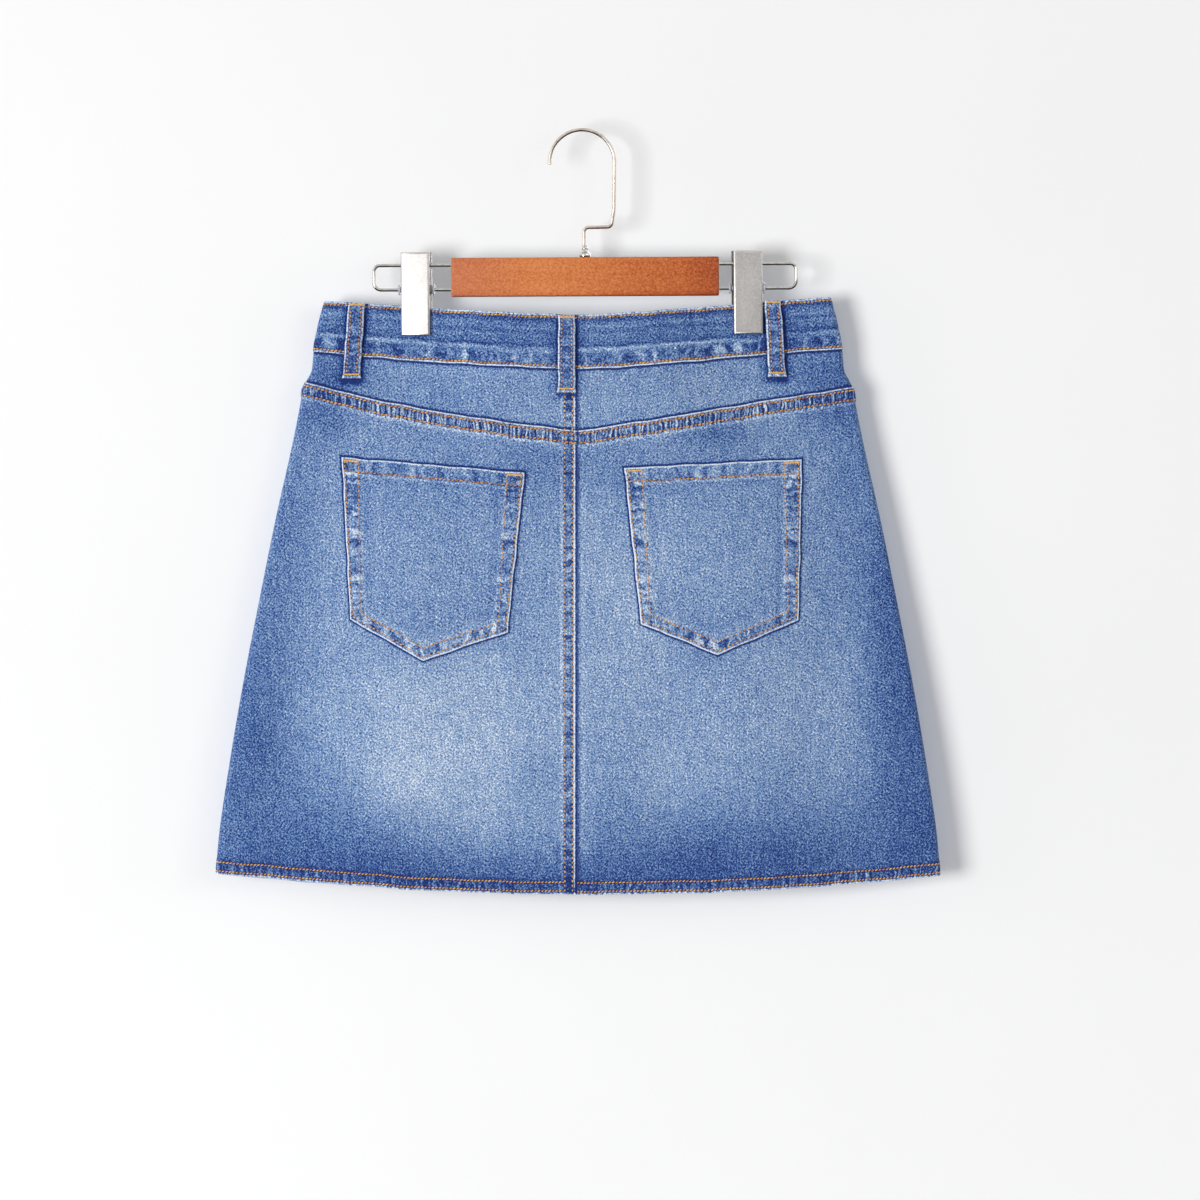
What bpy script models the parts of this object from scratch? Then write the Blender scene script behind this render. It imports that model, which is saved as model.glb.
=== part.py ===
"""A denim mini skirt held by the two clips of a hanger.

Sizes are millimetres until metres() places them. The origin is the underside of the hook's top, where a peg
carries it. +Z is up, +X runs to the right of the skirt's back, and the back faces -Y.

The cloth is one flattened tube. A place on it is a turn and a height: turn -1 is the left side fold, 0 the
middle of the back, 1 the right side fold, 2 the middle of the front and 3 the left side fold again. Left and
right are those of somebody who looks at the back, which are the wearer's too.
"""

import math
from bisect import bisect_right
from collections import namedtuple

import bmesh
import bpy
from mathutils import Vector

# ---- driving dimensions, in millimetres -----------------------------------------------------------------
MIDDLE_X = -5.3           # the skirt's middle line, which hangs a little left of the hook
FOLD_RADIUS = 5.0         # the flattened tube's side folds
FOLD_SHARE = 0.03         # share of half a turn that a side fold takes up
FILL_REACH = 0.55         # share of the half width over which the gap between back and front opens
SEAM_GAP = 0.3            # clearance between pieces that are sewn together
CLOTH = 1.2               # panel denim
BAND_OUT = 0.7            # the waistband's outer face stands this far out from the panels'
BAND_IN = 1.5             # and its inner face this far in
FELL_WIDTH = 11.0         # flat-felled seams at the yoke and the centre back
FELL_RAISE = 0.9
EDGE_STEP = 0.4           # width of the step down from a raised band
HEM_DEPTH = 10.5          # turned-up hem
HEM_IN = 3.0
HEM_OUT = 0.2
POCKET_CLOTH = 1.0
POCKET_SIDE_TURN = 13.2   # cloth turned under along a pocket's sides
POCKET_FOOT_TURN = 10.2
POCKET_MOUTH_TURN = 11.6
POCKET_TURN_RAISE = 0.6
LOOP_WIDTH = 12.9         # belt loops
LOOP_CLOTH = 1.8
LOOP_END_CLOTH = 2.7
LOOP_BELT_GAP = 2.9
FRONT_LAP = 30.0          # the waistband's left end laps over its right end at the centre front
LAP_RAMP = 12.0           # the lapped end rises over this length, before the two ends meet
LAP_CLEARANCE = 2.0
LAP_LEVEL_SHARE = 0.79    # share of the left front band that lies level
BUTTON_FROM_END = 16.5
FLY_WIDTH = 36.0
FLY_LENGTH = 132.0
BUTTON_RADIUS = 8.5
BUTTON_HEIGHT = 3.6

HANGER_Z = -109.0         # middle of the wooden bar
HANGER_TILT = -0.3        # degrees; the right end hangs slightly high
BAR_LENGTH = 201.0
BAR_HEIGHT = 29.0
BAR_DEPTH = 12.0
BAR_EDGE = 1.4
WIRE_RADIUS = 1.25
WIRE_REACH = 158.6        # from the middle to the wire loop's end
WIRE_RISE = 9.2           # of each wire above or below the bar's middle
WIRE_CORNER = 4.6
CLIP_REACH = 124.1        # from the middle between the clips to each
CLIPS_MIDDLE_X = -2.5
CLIP_WIDTH = 22.0
CLIP_TOP = 18.8           # above the bar's middle
CLIP_FOOT = -43.9
CLIP_LEAF_DEPTH = 4.0
CLIP_STEEL = 0.8
CLIP_BEND = 1.6
CLIP_CLEARANCE = 0.3
NOTCH_DEPTH = 6.0         # cut from the clips' side walls for the wires, front to back
NOTCH_RISE = 4.4          # its height at the upper wire
BUSHING_NOTCH_RISE = 6.4  # and at the lower wire, round the bushing
BUSHING_SLEEVE = 2.3      # radii of the bushing
BUSHING_FLANGE = 4.0
BUSHING_FLANGE_WIDTH = 1.6
BUSHING_CLEARANCE = 0.25  # round the wire
BUSHING_SIDE_PLAY = 1.1   # leaves room for the clip to stand askew on its wire
PINCH_HALF_GAP = 1.75     # from the middle surface to the panels' outer faces between a clip's jaws
PINCH_SIDEWAYS = 60.0     # how far the squeeze fades to each side and downwards
PINCH_DOWNWARDS = 100.0
HOOK_WIRE_RADIUS = 1.3
HOOK_RADIUS = 24.4        # to the middle of the wire
HOOK_CENTRE_X = -2.25
HOOK_TIP_ANGLE = 184      # degrees, round from the stem's side
HOOK_ARC_STEPS = 15
HOOK_STEM = ((21.6, -59.0), (19.6, -71.6), (-0.9, -72.0), (-0.9, -85.0))   # x and z of the stem's corners
HOOK_STEM_RADII = (30.0, 3.4, 3.6)

Section = namedtuple("Section", "height half_width gap bow")
SECTIONS = (
    Section(height=-112, half_width=187.0, gap=13.0, bow=9.0),
    Section(height=-127, half_width=190.3, gap=13.0, bow=9.0),
    Section(height=-150, half_width=195.8, gap=14.0, bow=9.0),
    Section(height=-165, half_width=198.9, gap=15.0, bow=9.0),
    Section(height=-179, half_width=200.2, gap=16.0, bow=8.6),
    Section(height=-187, half_width=204.2, gap=17.0, bow=8.3),
    Section(height=-194, half_width=207.2, gap=18.0, bow=8.0),
    Section(height=-204, half_width=208.8, gap=19.0, bow=7.8),
    Section(height=-232, half_width=214.3, gap=22.0, bow=7.0),
    Section(height=-292, half_width=227.6, gap=26.0, bow=5.5),
    Section(height=-352, half_width=239.6, gap=29.0, bow=4.0),
    Section(height=-412, half_width=251.2, gap=31.0, bow=2.5),
    Section(height=-472, half_width=261.4, gap=32.0, bow=1.2),
    Section(height=-532, half_width=270.0, gap=33.0, bow=0.3),
    Section(height=-580, half_width=273.6, gap=33.0, bow=0.0),
)

# Heights of the seams and edges across the back, from the left side fold to the right one.
SeamLine = namedtuple("SeamLine", "left two_thirds_left third_left middle third_right two_thirds_right right")
TOP_EDGE = SeamLine(-127.0, -131.0, -135.3, -138.0, -134.3, -129.0, -123.8)
WAIST_SEAM = SeamLine(-165.0, -171.5, -176.0, -179.0, -174.7, -168.3, -163.1)
YOKE_SEAM = SeamLine(-187.5, -203.6, -215.8, -225.0, -214.1, -202.2, -191.3)
HEM_EDGE = SeamLine(-557.0, -564.2, -570.2, -572.3, -571.0, -566.2, -558.5)
TOP_EDGE_FRONT_DIP = 25.0   # how far each line of the front dips from its two sides to the middle
WAIST_SEAM_FRONT_DIP = 25.0
HEM_FRONT_DIP = 15.0

# Corners of the patch pockets, as x and z seen from behind.
Pocket = namedtuple("Pocket", "name top_left top_right foot_right tip foot_left")
POCKETS = (
    Pocket(
        "pocket_left", top_left=(-182.5, -244.5), top_right=(-45.0, -256.5),
        foot_right=(-57.8, -375.8), tip=(-120.8, -397.5), foot_left=(-175.9, -366.5),
    ),
    Pocket(
        "pocket_right", top_left=(29.3, -252.8), top_right=(162.8, -246.0),
        foot_right=(160.0, -366.8), tip=(99.5, -393.0), foot_left=(41.8, -369.8),
    ),
)

# Belt loops: the face they are on, their ends' middles, and how far out their lower end is sewn down.
BeltLoop = namedtuple("BeltLoop", "name front top_x top_z foot_x foot_z foot_seat")
BELT_LOOPS = (
    BeltLoop("belt_loop_back_left", False, -171.4, -128.6, -175.5, -185.3, 0.3),
    BeltLoop("belt_loop_back_middle", False, -13.7, -138.6, -13.7, -196.5, 1.2),
    BeltLoop("belt_loop_back_right", False, 140.6, -126.6, 144.2, -184.2, 0.3),
    BeltLoop("belt_loop_front_left", True, -98.0, -142.4, -101.0, -196.4, 0.4),
    BeltLoop("belt_loop_front_right", True, 87.0, -141.4, 90.0, -195.4, 0.4),
)

MM = 0.001
SMALL_TURN = 0.0005
SMALL_HEIGHT = 0.5

# ---- materials --------------------------------------------------------------------------------------------
Finish = namedtuple("Finish", "colour roughness metallic")
FINISHES = {
    "denim": Finish((0.105, 0.215, 0.47), 0.85, 0.0),
    "denim_dark": Finish((0.075, 0.155, 0.38), 0.85, 0.0),
    "wood": Finish((0.56, 0.2, 0.06), 0.4, 0.0),
    "nickel": Finish((0.72, 0.7, 0.67), 0.3, 1.0),
    "clear_plastic": Finish((0.78, 0.78, 0.82), 0.25, 0.0),
}


def make_material(name):
    """A Principled material with the finish of that name."""
    finish = FINISHES[name]
    material = bpy.data.materials.new(name)
    material.use_nodes = True
    shader = material.node_tree.nodes["Principled BSDF"]
    shader.inputs["Base Color"].default_value = (*finish.colour, 1.0)
    shader.inputs["Roughness"].default_value = finish.roughness
    shader.inputs["Metallic"].default_value = finish.metallic
    material.diffuse_color = (*finish.colour, 1.0)
    return material


def add_object(name, data, finish, parent=None):
    """Puts a piece in the scene with a material of its own."""
    piece = bpy.data.objects.new(name, data)
    bpy.context.scene.collection.objects.link(piece)
    material = make_material(finish)
    material.name = f"{name}_{finish}"
    piece.data.materials.append(material)
    piece.parent = parent
    return piece


# ---- curves through short tables --------------------------------------------------------------------------
def steady_curve(stations, values):
    """A smooth curve through the values that never swings past them."""
    spans = [after - before for before, after in zip(stations, stations[1:])]
    slopes = [(after - before) / span for before, after, span in zip(values, values[1:], spans)]
    tangents = [slopes[0]]
    for before, after in zip(slopes, slopes[1:]):
        tangents.append(2 * before * after / (before + after) if before * after > 0 else 0.0)
    tangents.append(slopes[-1])

    def read(station):
        station = min(max(station, stations[0]), stations[-1])
        i = min(bisect_right(stations, station) - 1, len(spans) - 1)
        t = (station - stations[i]) / spans[i]
        start = (1 + 2 * t) * (1 - t) ** 2 * values[i] + t * (1 - t) ** 2 * spans[i] * tangents[i]
        end = t * t * (3 - 2 * t) * values[i + 1] - t * t * (1 - t) * spans[i] * tangents[i + 1]
        return start + end

    return read


def pointed_curve(stations, values):
    """Two smooth curves that meet at a corner over the middle station."""
    middle = len(stations) // 2
    before = steady_curve(stations[:middle + 1], values[:middle + 1])
    after = steady_curve(stations[middle:], values[middle:])

    def read(station):
        return before(station) if station < stations[middle] else after(station)

    return read


def ease(share):
    """0 to 1 with a level start and end."""
    share = min(max(share, 0.0), 1.0)
    return share * share * (3 - 2 * share)


def mix(start, end, share):
    return start + (end - start) * share


RISING = tuple(reversed(SECTIONS))
RISING_HEIGHTS = [section.height for section in RISING]
half_width_at = steady_curve(RISING_HEIGHTS, [section.half_width for section in RISING])
gap_at = steady_curve(RISING_HEIGHTS, [section.gap for section in RISING])
bow_at = steady_curve(RISING_HEIGHTS, [section.bow for section in RISING])


# ---- the tube of cloth ------------------------------------------------------------------------------------
def clip_x(side):
    """Where the left (-1) or the right (1) clip bites."""
    return CLIPS_MIDDLE_X + side * CLIP_REACH


def squeeze(x, height):
    """1 between a clip's jaws, fading to 0 around and below it."""
    below = max(0.0, HANGER_Z + CLIP_FOOT - height) / PINCH_DOWNWARDS
    strongest = 0.0
    for side in (-1, 1):
        beside = max(0.0, abs(x - clip_x(side)) - CLIP_WIDTH / 2 - 2) / PINCH_SIDEWAYS
        strongest = max(strongest, 1 - ease(math.hypot(beside, below)))
    return strongest


def middle_surface(x, bow):
    """y halfway between back and front: between the clips the cloth bows towards the back's viewer."""
    across = abs(x - CLIPS_MIDDLE_X)
    if across <= CLIP_REACH:
        return bow * ((across / CLIP_REACH) ** 2 - 1)
    beyond = across - CLIP_REACH
    return 2 * bow / CLIP_REACH * beyond * (1 - beyond / (2 * CLIP_REACH))


def tube_point(turn, height):
    """A point of the panels' outer face."""
    turn = (turn + 1) % 4 - 1
    front = turn > 1
    across = 2 - turn if front else turn
    half_width = half_width_at(height)
    inward = 1 - abs(across)
    if inward < FOLD_SHARE:
        angle = inward / FOLD_SHARE * math.pi / 2
        from_side = FOLD_RADIUS * (1 - math.cos(angle))
        depth = FOLD_RADIUS * math.sin(angle)
    else:
        from_side = mix(FOLD_RADIUS, half_width, (inward - FOLD_SHARE) / (1 - FOLD_SHARE))
        depth = FOLD_RADIUS
    opened = ease(from_side / (FILL_REACH * half_width))
    depth += (gap_at(height) / 2 - FOLD_RADIUS) * opened
    x = MIDDLE_X + math.copysign(half_width - from_side, across)
    depth = mix(depth, PINCH_HALF_GAP, squeeze(x, height) * min(1.0, from_side / FOLD_RADIUS))
    y = middle_surface(x, bow_at(height)) + (depth if front else -depth)
    return Vector((x, y, height))


def tube_normal(turn, height):
    """The outward direction there."""
    around = tube_point(turn + SMALL_TURN, height) - tube_point(turn - SMALL_TURN, height)
    upward = tube_point(turn, height + SMALL_HEIGHT) - tube_point(turn, height - SMALL_HEIGHT)
    return around.cross(upward).normalized()


def on_cloth(turn, height, out):
    """A point that stands out from the panels' outer face by out."""
    return tube_point(turn, height) + tube_normal(turn, height) * out


def turns_per_mm(height):
    return (1 - FOLD_SHARE) / (half_width_at(height) - FOLD_RADIUS)


def turn_of(x, height, front=False):
    """The turn at which the back, or the front, has that x."""
    across = (x - MIDDLE_X) * turns_per_mm(height)
    return 2 - across if front else across


def seam_height(line, turn, front_dip=0.0):
    """Height of a seam line, across the back from its table and across the front from the dip."""
    turn = (turn + 1) % 4 - 1
    if turn > 1:
        across = 2 - turn
        return mix(line.left, line.right, (across + 1) / 2) - front_dip * (1 - across * across)
    return BACK_LINES[line](turn)


THIRDS = [third / 3 for third in range(-3, 4)]
BACK_LINES = {line: steady_curve(THIRDS, line) for line in (TOP_EDGE, WAIST_SEAM, HEM_EDGE)}
BACK_LINES[YOKE_SEAM] = pointed_curve(THIRDS, YOKE_SEAM)


def top_edge(turn):
    return seam_height(TOP_EDGE, turn, TOP_EDGE_FRONT_DIP)


def waist_seam(turn):
    return seam_height(WAIST_SEAM, turn, WAIST_SEAM_FRONT_DIP)


def yoke_seam(turn):
    return seam_height(YOKE_SEAM, turn)


def hem_edge(turn):
    return seam_height(HEM_EDGE, turn, HEM_FRONT_DIP)


# ---- mesh building ----------------------------------------------------------------------------------------
def metres(place):
    return place * MM


def finished_mesh(name, shape, smooth=False):
    """Turns a bmesh in millimetres into a mesh with its faces outward."""
    bmesh.ops.recalc_face_normals(shape, faces=shape.faces)
    if shape.calc_volume(signed=True) < 0:
        bmesh.ops.reverse_faces(shape, faces=shape.faces)
    bmesh.ops.scale(shape, vec=(MM, MM, MM), verts=shape.verts)
    mesh = bpy.data.meshes.new(name)
    shape.to_mesh(mesh)
    shape.free()
    if smooth:
        mesh.shade_smooth()
        mesh.set_sharp_from_angle(angle=math.radians(35))
    return mesh


def wall_mesh(name, columns, rows, place):
    """A closed sheet over a grid. place(column, row, outer) is a corner of its outer or its inner face."""
    shape = bmesh.new()
    bmesh.ops.create_grid(shape, x_segments=len(columns) - 1, y_segments=len(rows) - 1, size=1)
    corner = shape.verts.layers.int.new("corner")
    for index, vertex in enumerate(shape.verts):
        vertex[corner] = index
    inner_side = list(shape.verts)
    bmesh.ops.extrude_face_region(shape, geom=shape.faces[:])
    inner_side = set(inner_side)
    for vertex in shape.verts:
        row, column = divmod(vertex[corner], len(columns))
        vertex.co = place(columns[column], rows[row], vertex not in inner_side)
    return finished_mesh(name, shape)


Station = namedtuple("Station", "share shift")


def stations(*pairs):
    """Places along a span: a share of it, moved by so many millimetres."""
    return [Station(share, shift) for share, shift in pairs]


def even_stations(start, end, count):
    """Stations inside a span, without its ends."""
    return [Station(mix(start, end, step / (count + 1)), 0.0) for step in range(1, count + 1)]


def cloth_wall(name, turn_span, columns, rows, top, foot, faces, finish="denim"):
    """A piece of the tube between two lines. faces(from_start, below_top, above_foot) gives how far its
    outer and inner face stand out, from distances in millimetres."""
    start, end = turn_span
    way = math.copysign(1.0, end - start)

    def place(column, row, outer):
        rough_turn = mix(start, end, column.share)
        middle_height = (top(rough_turn) + foot(rough_turn)) / 2
        turn = rough_turn + way * column.shift * turns_per_mm(middle_height)
        height = mix(top(turn), foot(turn), row.share) + row.shift
        turn = rough_turn + way * column.shift * turns_per_mm(height)
        from_end = abs(end - turn) / turns_per_mm(height)
        out, inside = faces(from_end, top(turn) - height, height - foot(turn))
        return on_cloth(turn, height, out if outer else inside)

    return add_object(name, wall_mesh(name, columns, rows, place), finish)


HALF_GAP = SEAM_GAP / 2
FOLD_COLUMNS = stations((0, HALF_GAP), (0.01, 0), (0.02, 0), (0.03, 0))


# ---- waistband --------------------------------------------------------------------------------------------
BAND_ROWS = stations((0, 0), (0.34, 0), (0.67, 0), (1, HALF_GAP))


def flat_band(_from_end, _below_top, _above_foot):
    return BAND_OUT, -BAND_IN


def add_waistband():
    """One back piece from side seam to side seam, and two front pieces, the left one lapped over."""
    left_fold = [Station(place.share / 2, place.shift) for place in FOLD_COLUMNS]
    right_fold = [Station(1 - place.share, -place.shift) for place in reversed(left_fold)]
    columns = left_fold + even_stations(FOLD_SHARE / 2, 1 - FOLD_SHARE / 2, 30) + right_fold
    cloth_wall("waistband_back", (-1, 1), columns, BAND_ROWS, top_edge, waist_seam, flat_band)

    right_columns = FOLD_COLUMNS + even_stations(FOLD_SHARE, 1, 14) + stations((1, -SEAM_GAP))
    cloth_wall("waistband_front_right", (1, 2), right_columns, BAND_ROWS, top_edge, waist_seam, flat_band)

    lap_height = BAND_OUT + SEAM_GAP + BAND_IN
    ramp_start = FRONT_LAP + LAP_CLEARANCE + LAP_RAMP

    def lapped_band(from_end, _below_top, _above_foot):
        lift = lap_height * ease((ramp_start - from_end) / LAP_RAMP)
        return BAND_OUT + lift, -BAND_IN + lift

    lap_turn = 2 - FRONT_LAP * turns_per_mm(waist_seam(2))
    left_columns = FOLD_COLUMNS + even_stations(FOLD_SHARE, LAP_LEVEL_SHARE, 13)
    left_columns += even_stations(LAP_LEVEL_SHARE, 1, 6) + stations((1, 0))
    name = "waistband_front_left"
    cloth_wall(name, (3, lap_turn), left_columns, BAND_ROWS, top_edge, waist_seam, lapped_band)


# ---- yoke and panels --------------------------------------------------------------------------------------
def add_yoke():
    """Two yoke pieces. The left one carries the centre-back fell."""
    rows = stations((0, -HALF_GAP), (0.25, 0), (0.5, 0), (0.75, 0), (1, HALF_GAP))

    def plain(_from_end, _below_top, _above_foot):
        return 0.0, -CLOTH

    def felled(from_end, _below_top, _above_foot):
        return (FELL_RAISE if from_end <= FELL_WIDTH + EDGE_STEP / 2 else 0.0), -CLOTH

    plain_columns = FOLD_COLUMNS + even_stations(FOLD_SHARE, 1, 14) + stations((1, -HALF_GAP))
    cloth_wall("yoke_right", (1, 0), plain_columns, rows, waist_seam, yoke_seam, plain)
    cloth_wall("yoke_left", (-1, 0), fell_columns(13), rows, waist_seam, yoke_seam, felled)


def fell_columns(count):
    """Columns of a left back piece, with the raised fell along the middle line."""
    columns = FOLD_COLUMNS + even_stations(FOLD_SHARE, 0.95, count)
    return columns + stations((1, -FELL_WIDTH - EDGE_STEP), (1, -FELL_WIDTH), (1, -HALF_GAP))


def panel_rows(seam_band):
    """Rows of a panel from its top seam to its hem."""
    if seam_band:
        rows = stations((0, -HALF_GAP), (0, -FELL_WIDTH), (0, -FELL_WIDTH - EDGE_STEP))
    else:
        rows = stations((0, -HALF_GAP), (0, -8), (0, -16))
    rows += even_stations(0.05, 0.97, 13)
    return rows + stations((1, HEM_DEPTH + EDGE_STEP), (1, HEM_DEPTH), (1, 0))


def add_back_panels():
    """Two back panels, each with the yoke's fell along its top and a turned hem."""

    def faces(from_end, below_top, above_foot, middle_fell):
        raised = below_top <= FELL_WIDTH + EDGE_STEP / 2
        raised = raised or (middle_fell and from_end <= FELL_WIDTH + EDGE_STEP / 2)
        hemmed = above_foot <= HEM_DEPTH + EDGE_STEP / 2
        out = FELL_RAISE if raised else (HEM_OUT if hemmed else 0.0)
        return out, -HEM_IN if hemmed else -CLOTH

    def left_faces(*distances):
        return faces(*distances, middle_fell=True)

    def right_faces(*distances):
        return faces(*distances, middle_fell=False)

    plain_columns = FOLD_COLUMNS + even_stations(FOLD_SHARE, 1, 13) + stations((1, -HALF_GAP))
    rows = panel_rows(seam_band=True)
    cloth_wall("back_panel_left", (-1, 0), fell_columns(12), rows, yoke_seam, hem_edge, left_faces)
    cloth_wall("back_panel_right", (1, 0), plain_columns, rows, yoke_seam, hem_edge, right_faces)


def add_front_panels():
    """Two plain front panels. The left one has the fly's raised facing along the centre front."""

    def faces(from_end, below_top, above_foot, fly):
        hemmed = above_foot <= HEM_DEPTH + EDGE_STEP / 2
        raised = fly and from_end <= FLY_WIDTH + EDGE_STEP / 2 and below_top <= FLY_LENGTH
        out = FELL_RAISE if raised else (HEM_OUT if hemmed else 0.0)
        return out, -HEM_IN if hemmed else -CLOTH

    def left_faces(*distances):
        return faces(*distances, fly=True)

    def right_faces(*distances):
        return faces(*distances, fly=False)

    rows = panel_rows(seam_band=False)
    right_columns = FOLD_COLUMNS + even_stations(FOLD_SHARE, 1, 13) + stations((1, -HALF_GAP))
    left_columns = FOLD_COLUMNS + even_stations(FOLD_SHARE, 0.84, 10)
    left_columns += stations((1, -FLY_WIDTH - EDGE_STEP), (1, -FLY_WIDTH), (1, -FLY_WIDTH / 2), (1, -HALF_GAP))
    cloth_wall("front_panel_right", (1, 2), right_columns, rows, waist_seam, hem_edge, right_faces)
    cloth_wall("front_panel_left", (3, 2), left_columns, rows, waist_seam, hem_edge, left_faces)


# ---- pockets ----------------------------------------------------------------------------------------------
def add_pocket(pocket):
    """A patch of five corners, its turned-under edges one cloth thicker than its middle."""
    top_left, top_right, foot_right, tip, foot_left = (Vector(corner) for corner in pocket[1:])
    tip_share = (tip.x - foot_left.x) / (foot_right.x - foot_left.x)
    top_width = (top_right - top_left).length

    def foot(share):
        if share <= tip_share:
            return foot_left.lerp(tip, share / tip_share)
        return tip.lerp(foot_right, (share - tip_share) / (1 - tip_share))

    def place(column, row, outer):
        share = column.share + column.shift / top_width
        head, heel = top_left.lerp(top_right, share), foot(share)
        drop = row.share - row.shift / (head - heel).length
        spot = head.lerp(heel, drop)
        turned = share * top_width <= POCKET_SIDE_TURN + HALF_GAP
        turned = turned or (1 - share) * top_width <= POCKET_SIDE_TURN + HALF_GAP
        length = (head - heel).length
        turned = turned or drop * length <= POCKET_MOUTH_TURN + HALF_GAP
        turned = turned or (1 - drop) * length <= POCKET_FOOT_TURN + HALF_GAP
        inside = SEAM_GAP
        out = inside + POCKET_CLOTH + (POCKET_TURN_RAISE if turned else 0.0)
        return on_cloth(turn_of(spot.x, spot.y), spot.y, out if outer else inside)

    side, step = POCKET_SIDE_TURN, EDGE_STEP
    columns = stations((0, 0), (0, side), (0, side + step), (0.2, 0), (0.32, 0), (tip_share, 0))
    columns += stations((0.66, 0), (0.79, 0), (1, -side - step), (1, -side), (1, 0))
    rows = stations((0, 0), (0, -POCKET_MOUTH_TURN), (0, -POCKET_MOUTH_TURN - step))
    rows += even_stations(0.1, 0.92, 5)
    rows += stations((1, POCKET_FOOT_TURN + step), (1, POCKET_FOOT_TURN), (1, 0))
    add_object(pocket.name, wall_mesh(pocket.name, columns, rows, place), "denim")


# ---- belt loops -------------------------------------------------------------------------------------------
LOOP_SHARES = (0.0, 0.07, 0.1, 0.2, 0.34, 0.48, 0.62, 0.76, 0.88, 0.92, 1.0)
LOOP_EDGES = (0.0, 0.1, 0.9, 1.0)
LOOP_EDGE_DROP = 0.5


def add_belt_loop(loop):
    """A folded strip, sewn down at both ends and standing clear of the waistband between them."""
    band_seat = BAND_OUT + SEAM_GAP
    stand = steady_curve(
        [0.0, 0.08, 0.26, 0.55, 0.78, 0.92, 1.0],
        [band_seat, band_seat, LOOP_BELT_GAP, LOOP_BELT_GAP, band_seat + 0.5, loop.foot_seat, loop.foot_seat],
    )

    def place(across, along, outer):
        x = mix(loop.top_x, loop.foot_x, along) + (across - 0.5) * LOOP_WIDTH
        height = mix(loop.top_z, loop.foot_z, along)
        out = stand(along)
        if outer:
            at_end = along < 0.08 or along > 0.9
            out += LOOP_END_CLOTH if at_end else LOOP_CLOTH
            out -= LOOP_EDGE_DROP if across in (0.0, 1.0) else 0.0
        return on_cloth(turn_of(x, height, loop.front), height, out)

    add_object(loop.name, wall_mesh(loop.name, LOOP_EDGES, LOOP_SHARES, place), "denim_dark")


# ---- turned pieces ----------------------------------------------------------------------------------------
def turned_mesh(name, profile, steps=20):
    """Spins a profile of (radius, height) points, both ends on the axis or both the same, round Z."""
    shape = bmesh.new()
    ring = [shape.verts.new((radius, 0, height)) for radius, height in profile]
    edges = [shape.edges.new(pair) for pair in zip(ring, ring[1:])]
    bmesh.ops.spin(
        shape, geom=ring + edges, cent=(0, 0, 0), axis=(0, 0, 1), angle=math.tau, steps=steps, use_merge=True
    )
    bmesh.ops.remove_doubles(shape, verts=shape.verts, dist=0.0005)
    return finished_mesh(name, shape, smooth=True)


def add_waist_button():
    """A metal shank button on the lapped end of the waistband."""
    height = (top_edge(2) + waist_seam(2)) / 2
    turn = 2 - (FRONT_LAP - BUTTON_FROM_END) * turns_per_mm(height)
    seat = 2 * BAND_OUT + BAND_IN + 2 * SEAM_GAP
    rim = BUTTON_RADIUS
    profile = (
        (0, 0), (rim * 0.5, 0), (rim * 0.5, 1.2), (rim * 0.94, 1.3), (rim, 2.0), (rim * 0.96, 2.9),
        (rim * 0.84, BUTTON_HEIGHT), (rim * 0.7, BUTTON_HEIGHT - 0.5), (0, BUTTON_HEIGHT - 0.35),
    )
    button = add_object("waist_button", turned_mesh("waist_button", profile), "nickel")
    outward = tube_normal(turn, height)
    button.location = metres(tube_point(turn, height) + outward * seat)
    button.rotation_euler = outward.to_track_quat("Z", "X").to_euler()


# ---- hanger -----------------------------------------------------------------------------------------------
def add_hanger_frame():
    """The empty that carries the bar, wires and clips, with the hanger's slight tilt."""
    frame = bpy.data.objects.new("hanger_frame", None)
    bpy.context.scene.collection.objects.link(frame)
    frame.location = metres(Vector((0, 0, HANGER_Z)))
    frame.rotation_euler.y = math.radians(HANGER_TILT)
    return frame


def box_shape(width, depth, height):
    """A box of that size in millimetres, round the origin."""
    shape = bmesh.new()
    bmesh.ops.create_cube(shape, size=1)
    bmesh.ops.scale(shape, vec=(width, depth, height), verts=shape.verts)
    return shape


def add_bar(frame):
    """The wooden bar with eased edges."""
    shape = box_shape(BAR_LENGTH, BAR_DEPTH, BAR_HEIGHT)
    bmesh.ops.bevel(
        shape, geom=shape.edges[:], offset=BAR_EDGE, affect="EDGES", segments=2, profile=0.5, material=-1
    )
    add_object("hanger_bar", finished_mesh("hanger_bar", shape), "wood", frame)


def rounded_route(corners, radii, corner_steps=5):
    """Points along straight runs whose corners are rounded with arcs."""
    route = [corners[0]]
    for before, corner, after, radius in zip(corners, corners[1:], corners[2:], radii):
        back = (before - corner).normalized()
        on = (after - corner).normalized()
        half_angle = back.angle(on) / 2
        reach = radius / math.tan(half_angle)
        centre = corner + (back + on).normalized() * (radius / math.sin(half_angle))
        start = (corner + back * reach - centre).normalized()
        end = (corner + on * reach - centre).normalized()
        for step in range(corner_steps + 1):
            route.append(centre + start.slerp(end, step / corner_steps) * radius)
    route.append(corners[-1])
    return route


def add_wire(name, route, radius, sides_step, parent=None):
    """A round wire along a route, with closed ends."""
    curve = bpy.data.curves.new(name, "CURVE")
    curve.dimensions = "3D"
    curve.bevel_depth = metres(radius)
    curve.bevel_resolution = sides_step
    curve.use_fill_caps = True
    spline = curve.splines.new("POLY")
    spline.points.add(len(route) - 1)
    for point, place in zip(spline.points, route):
        point.co = (*metres(place), 1.0)
    spline.use_smooth = True
    return add_object(name, curve, "nickel", parent)


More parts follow.
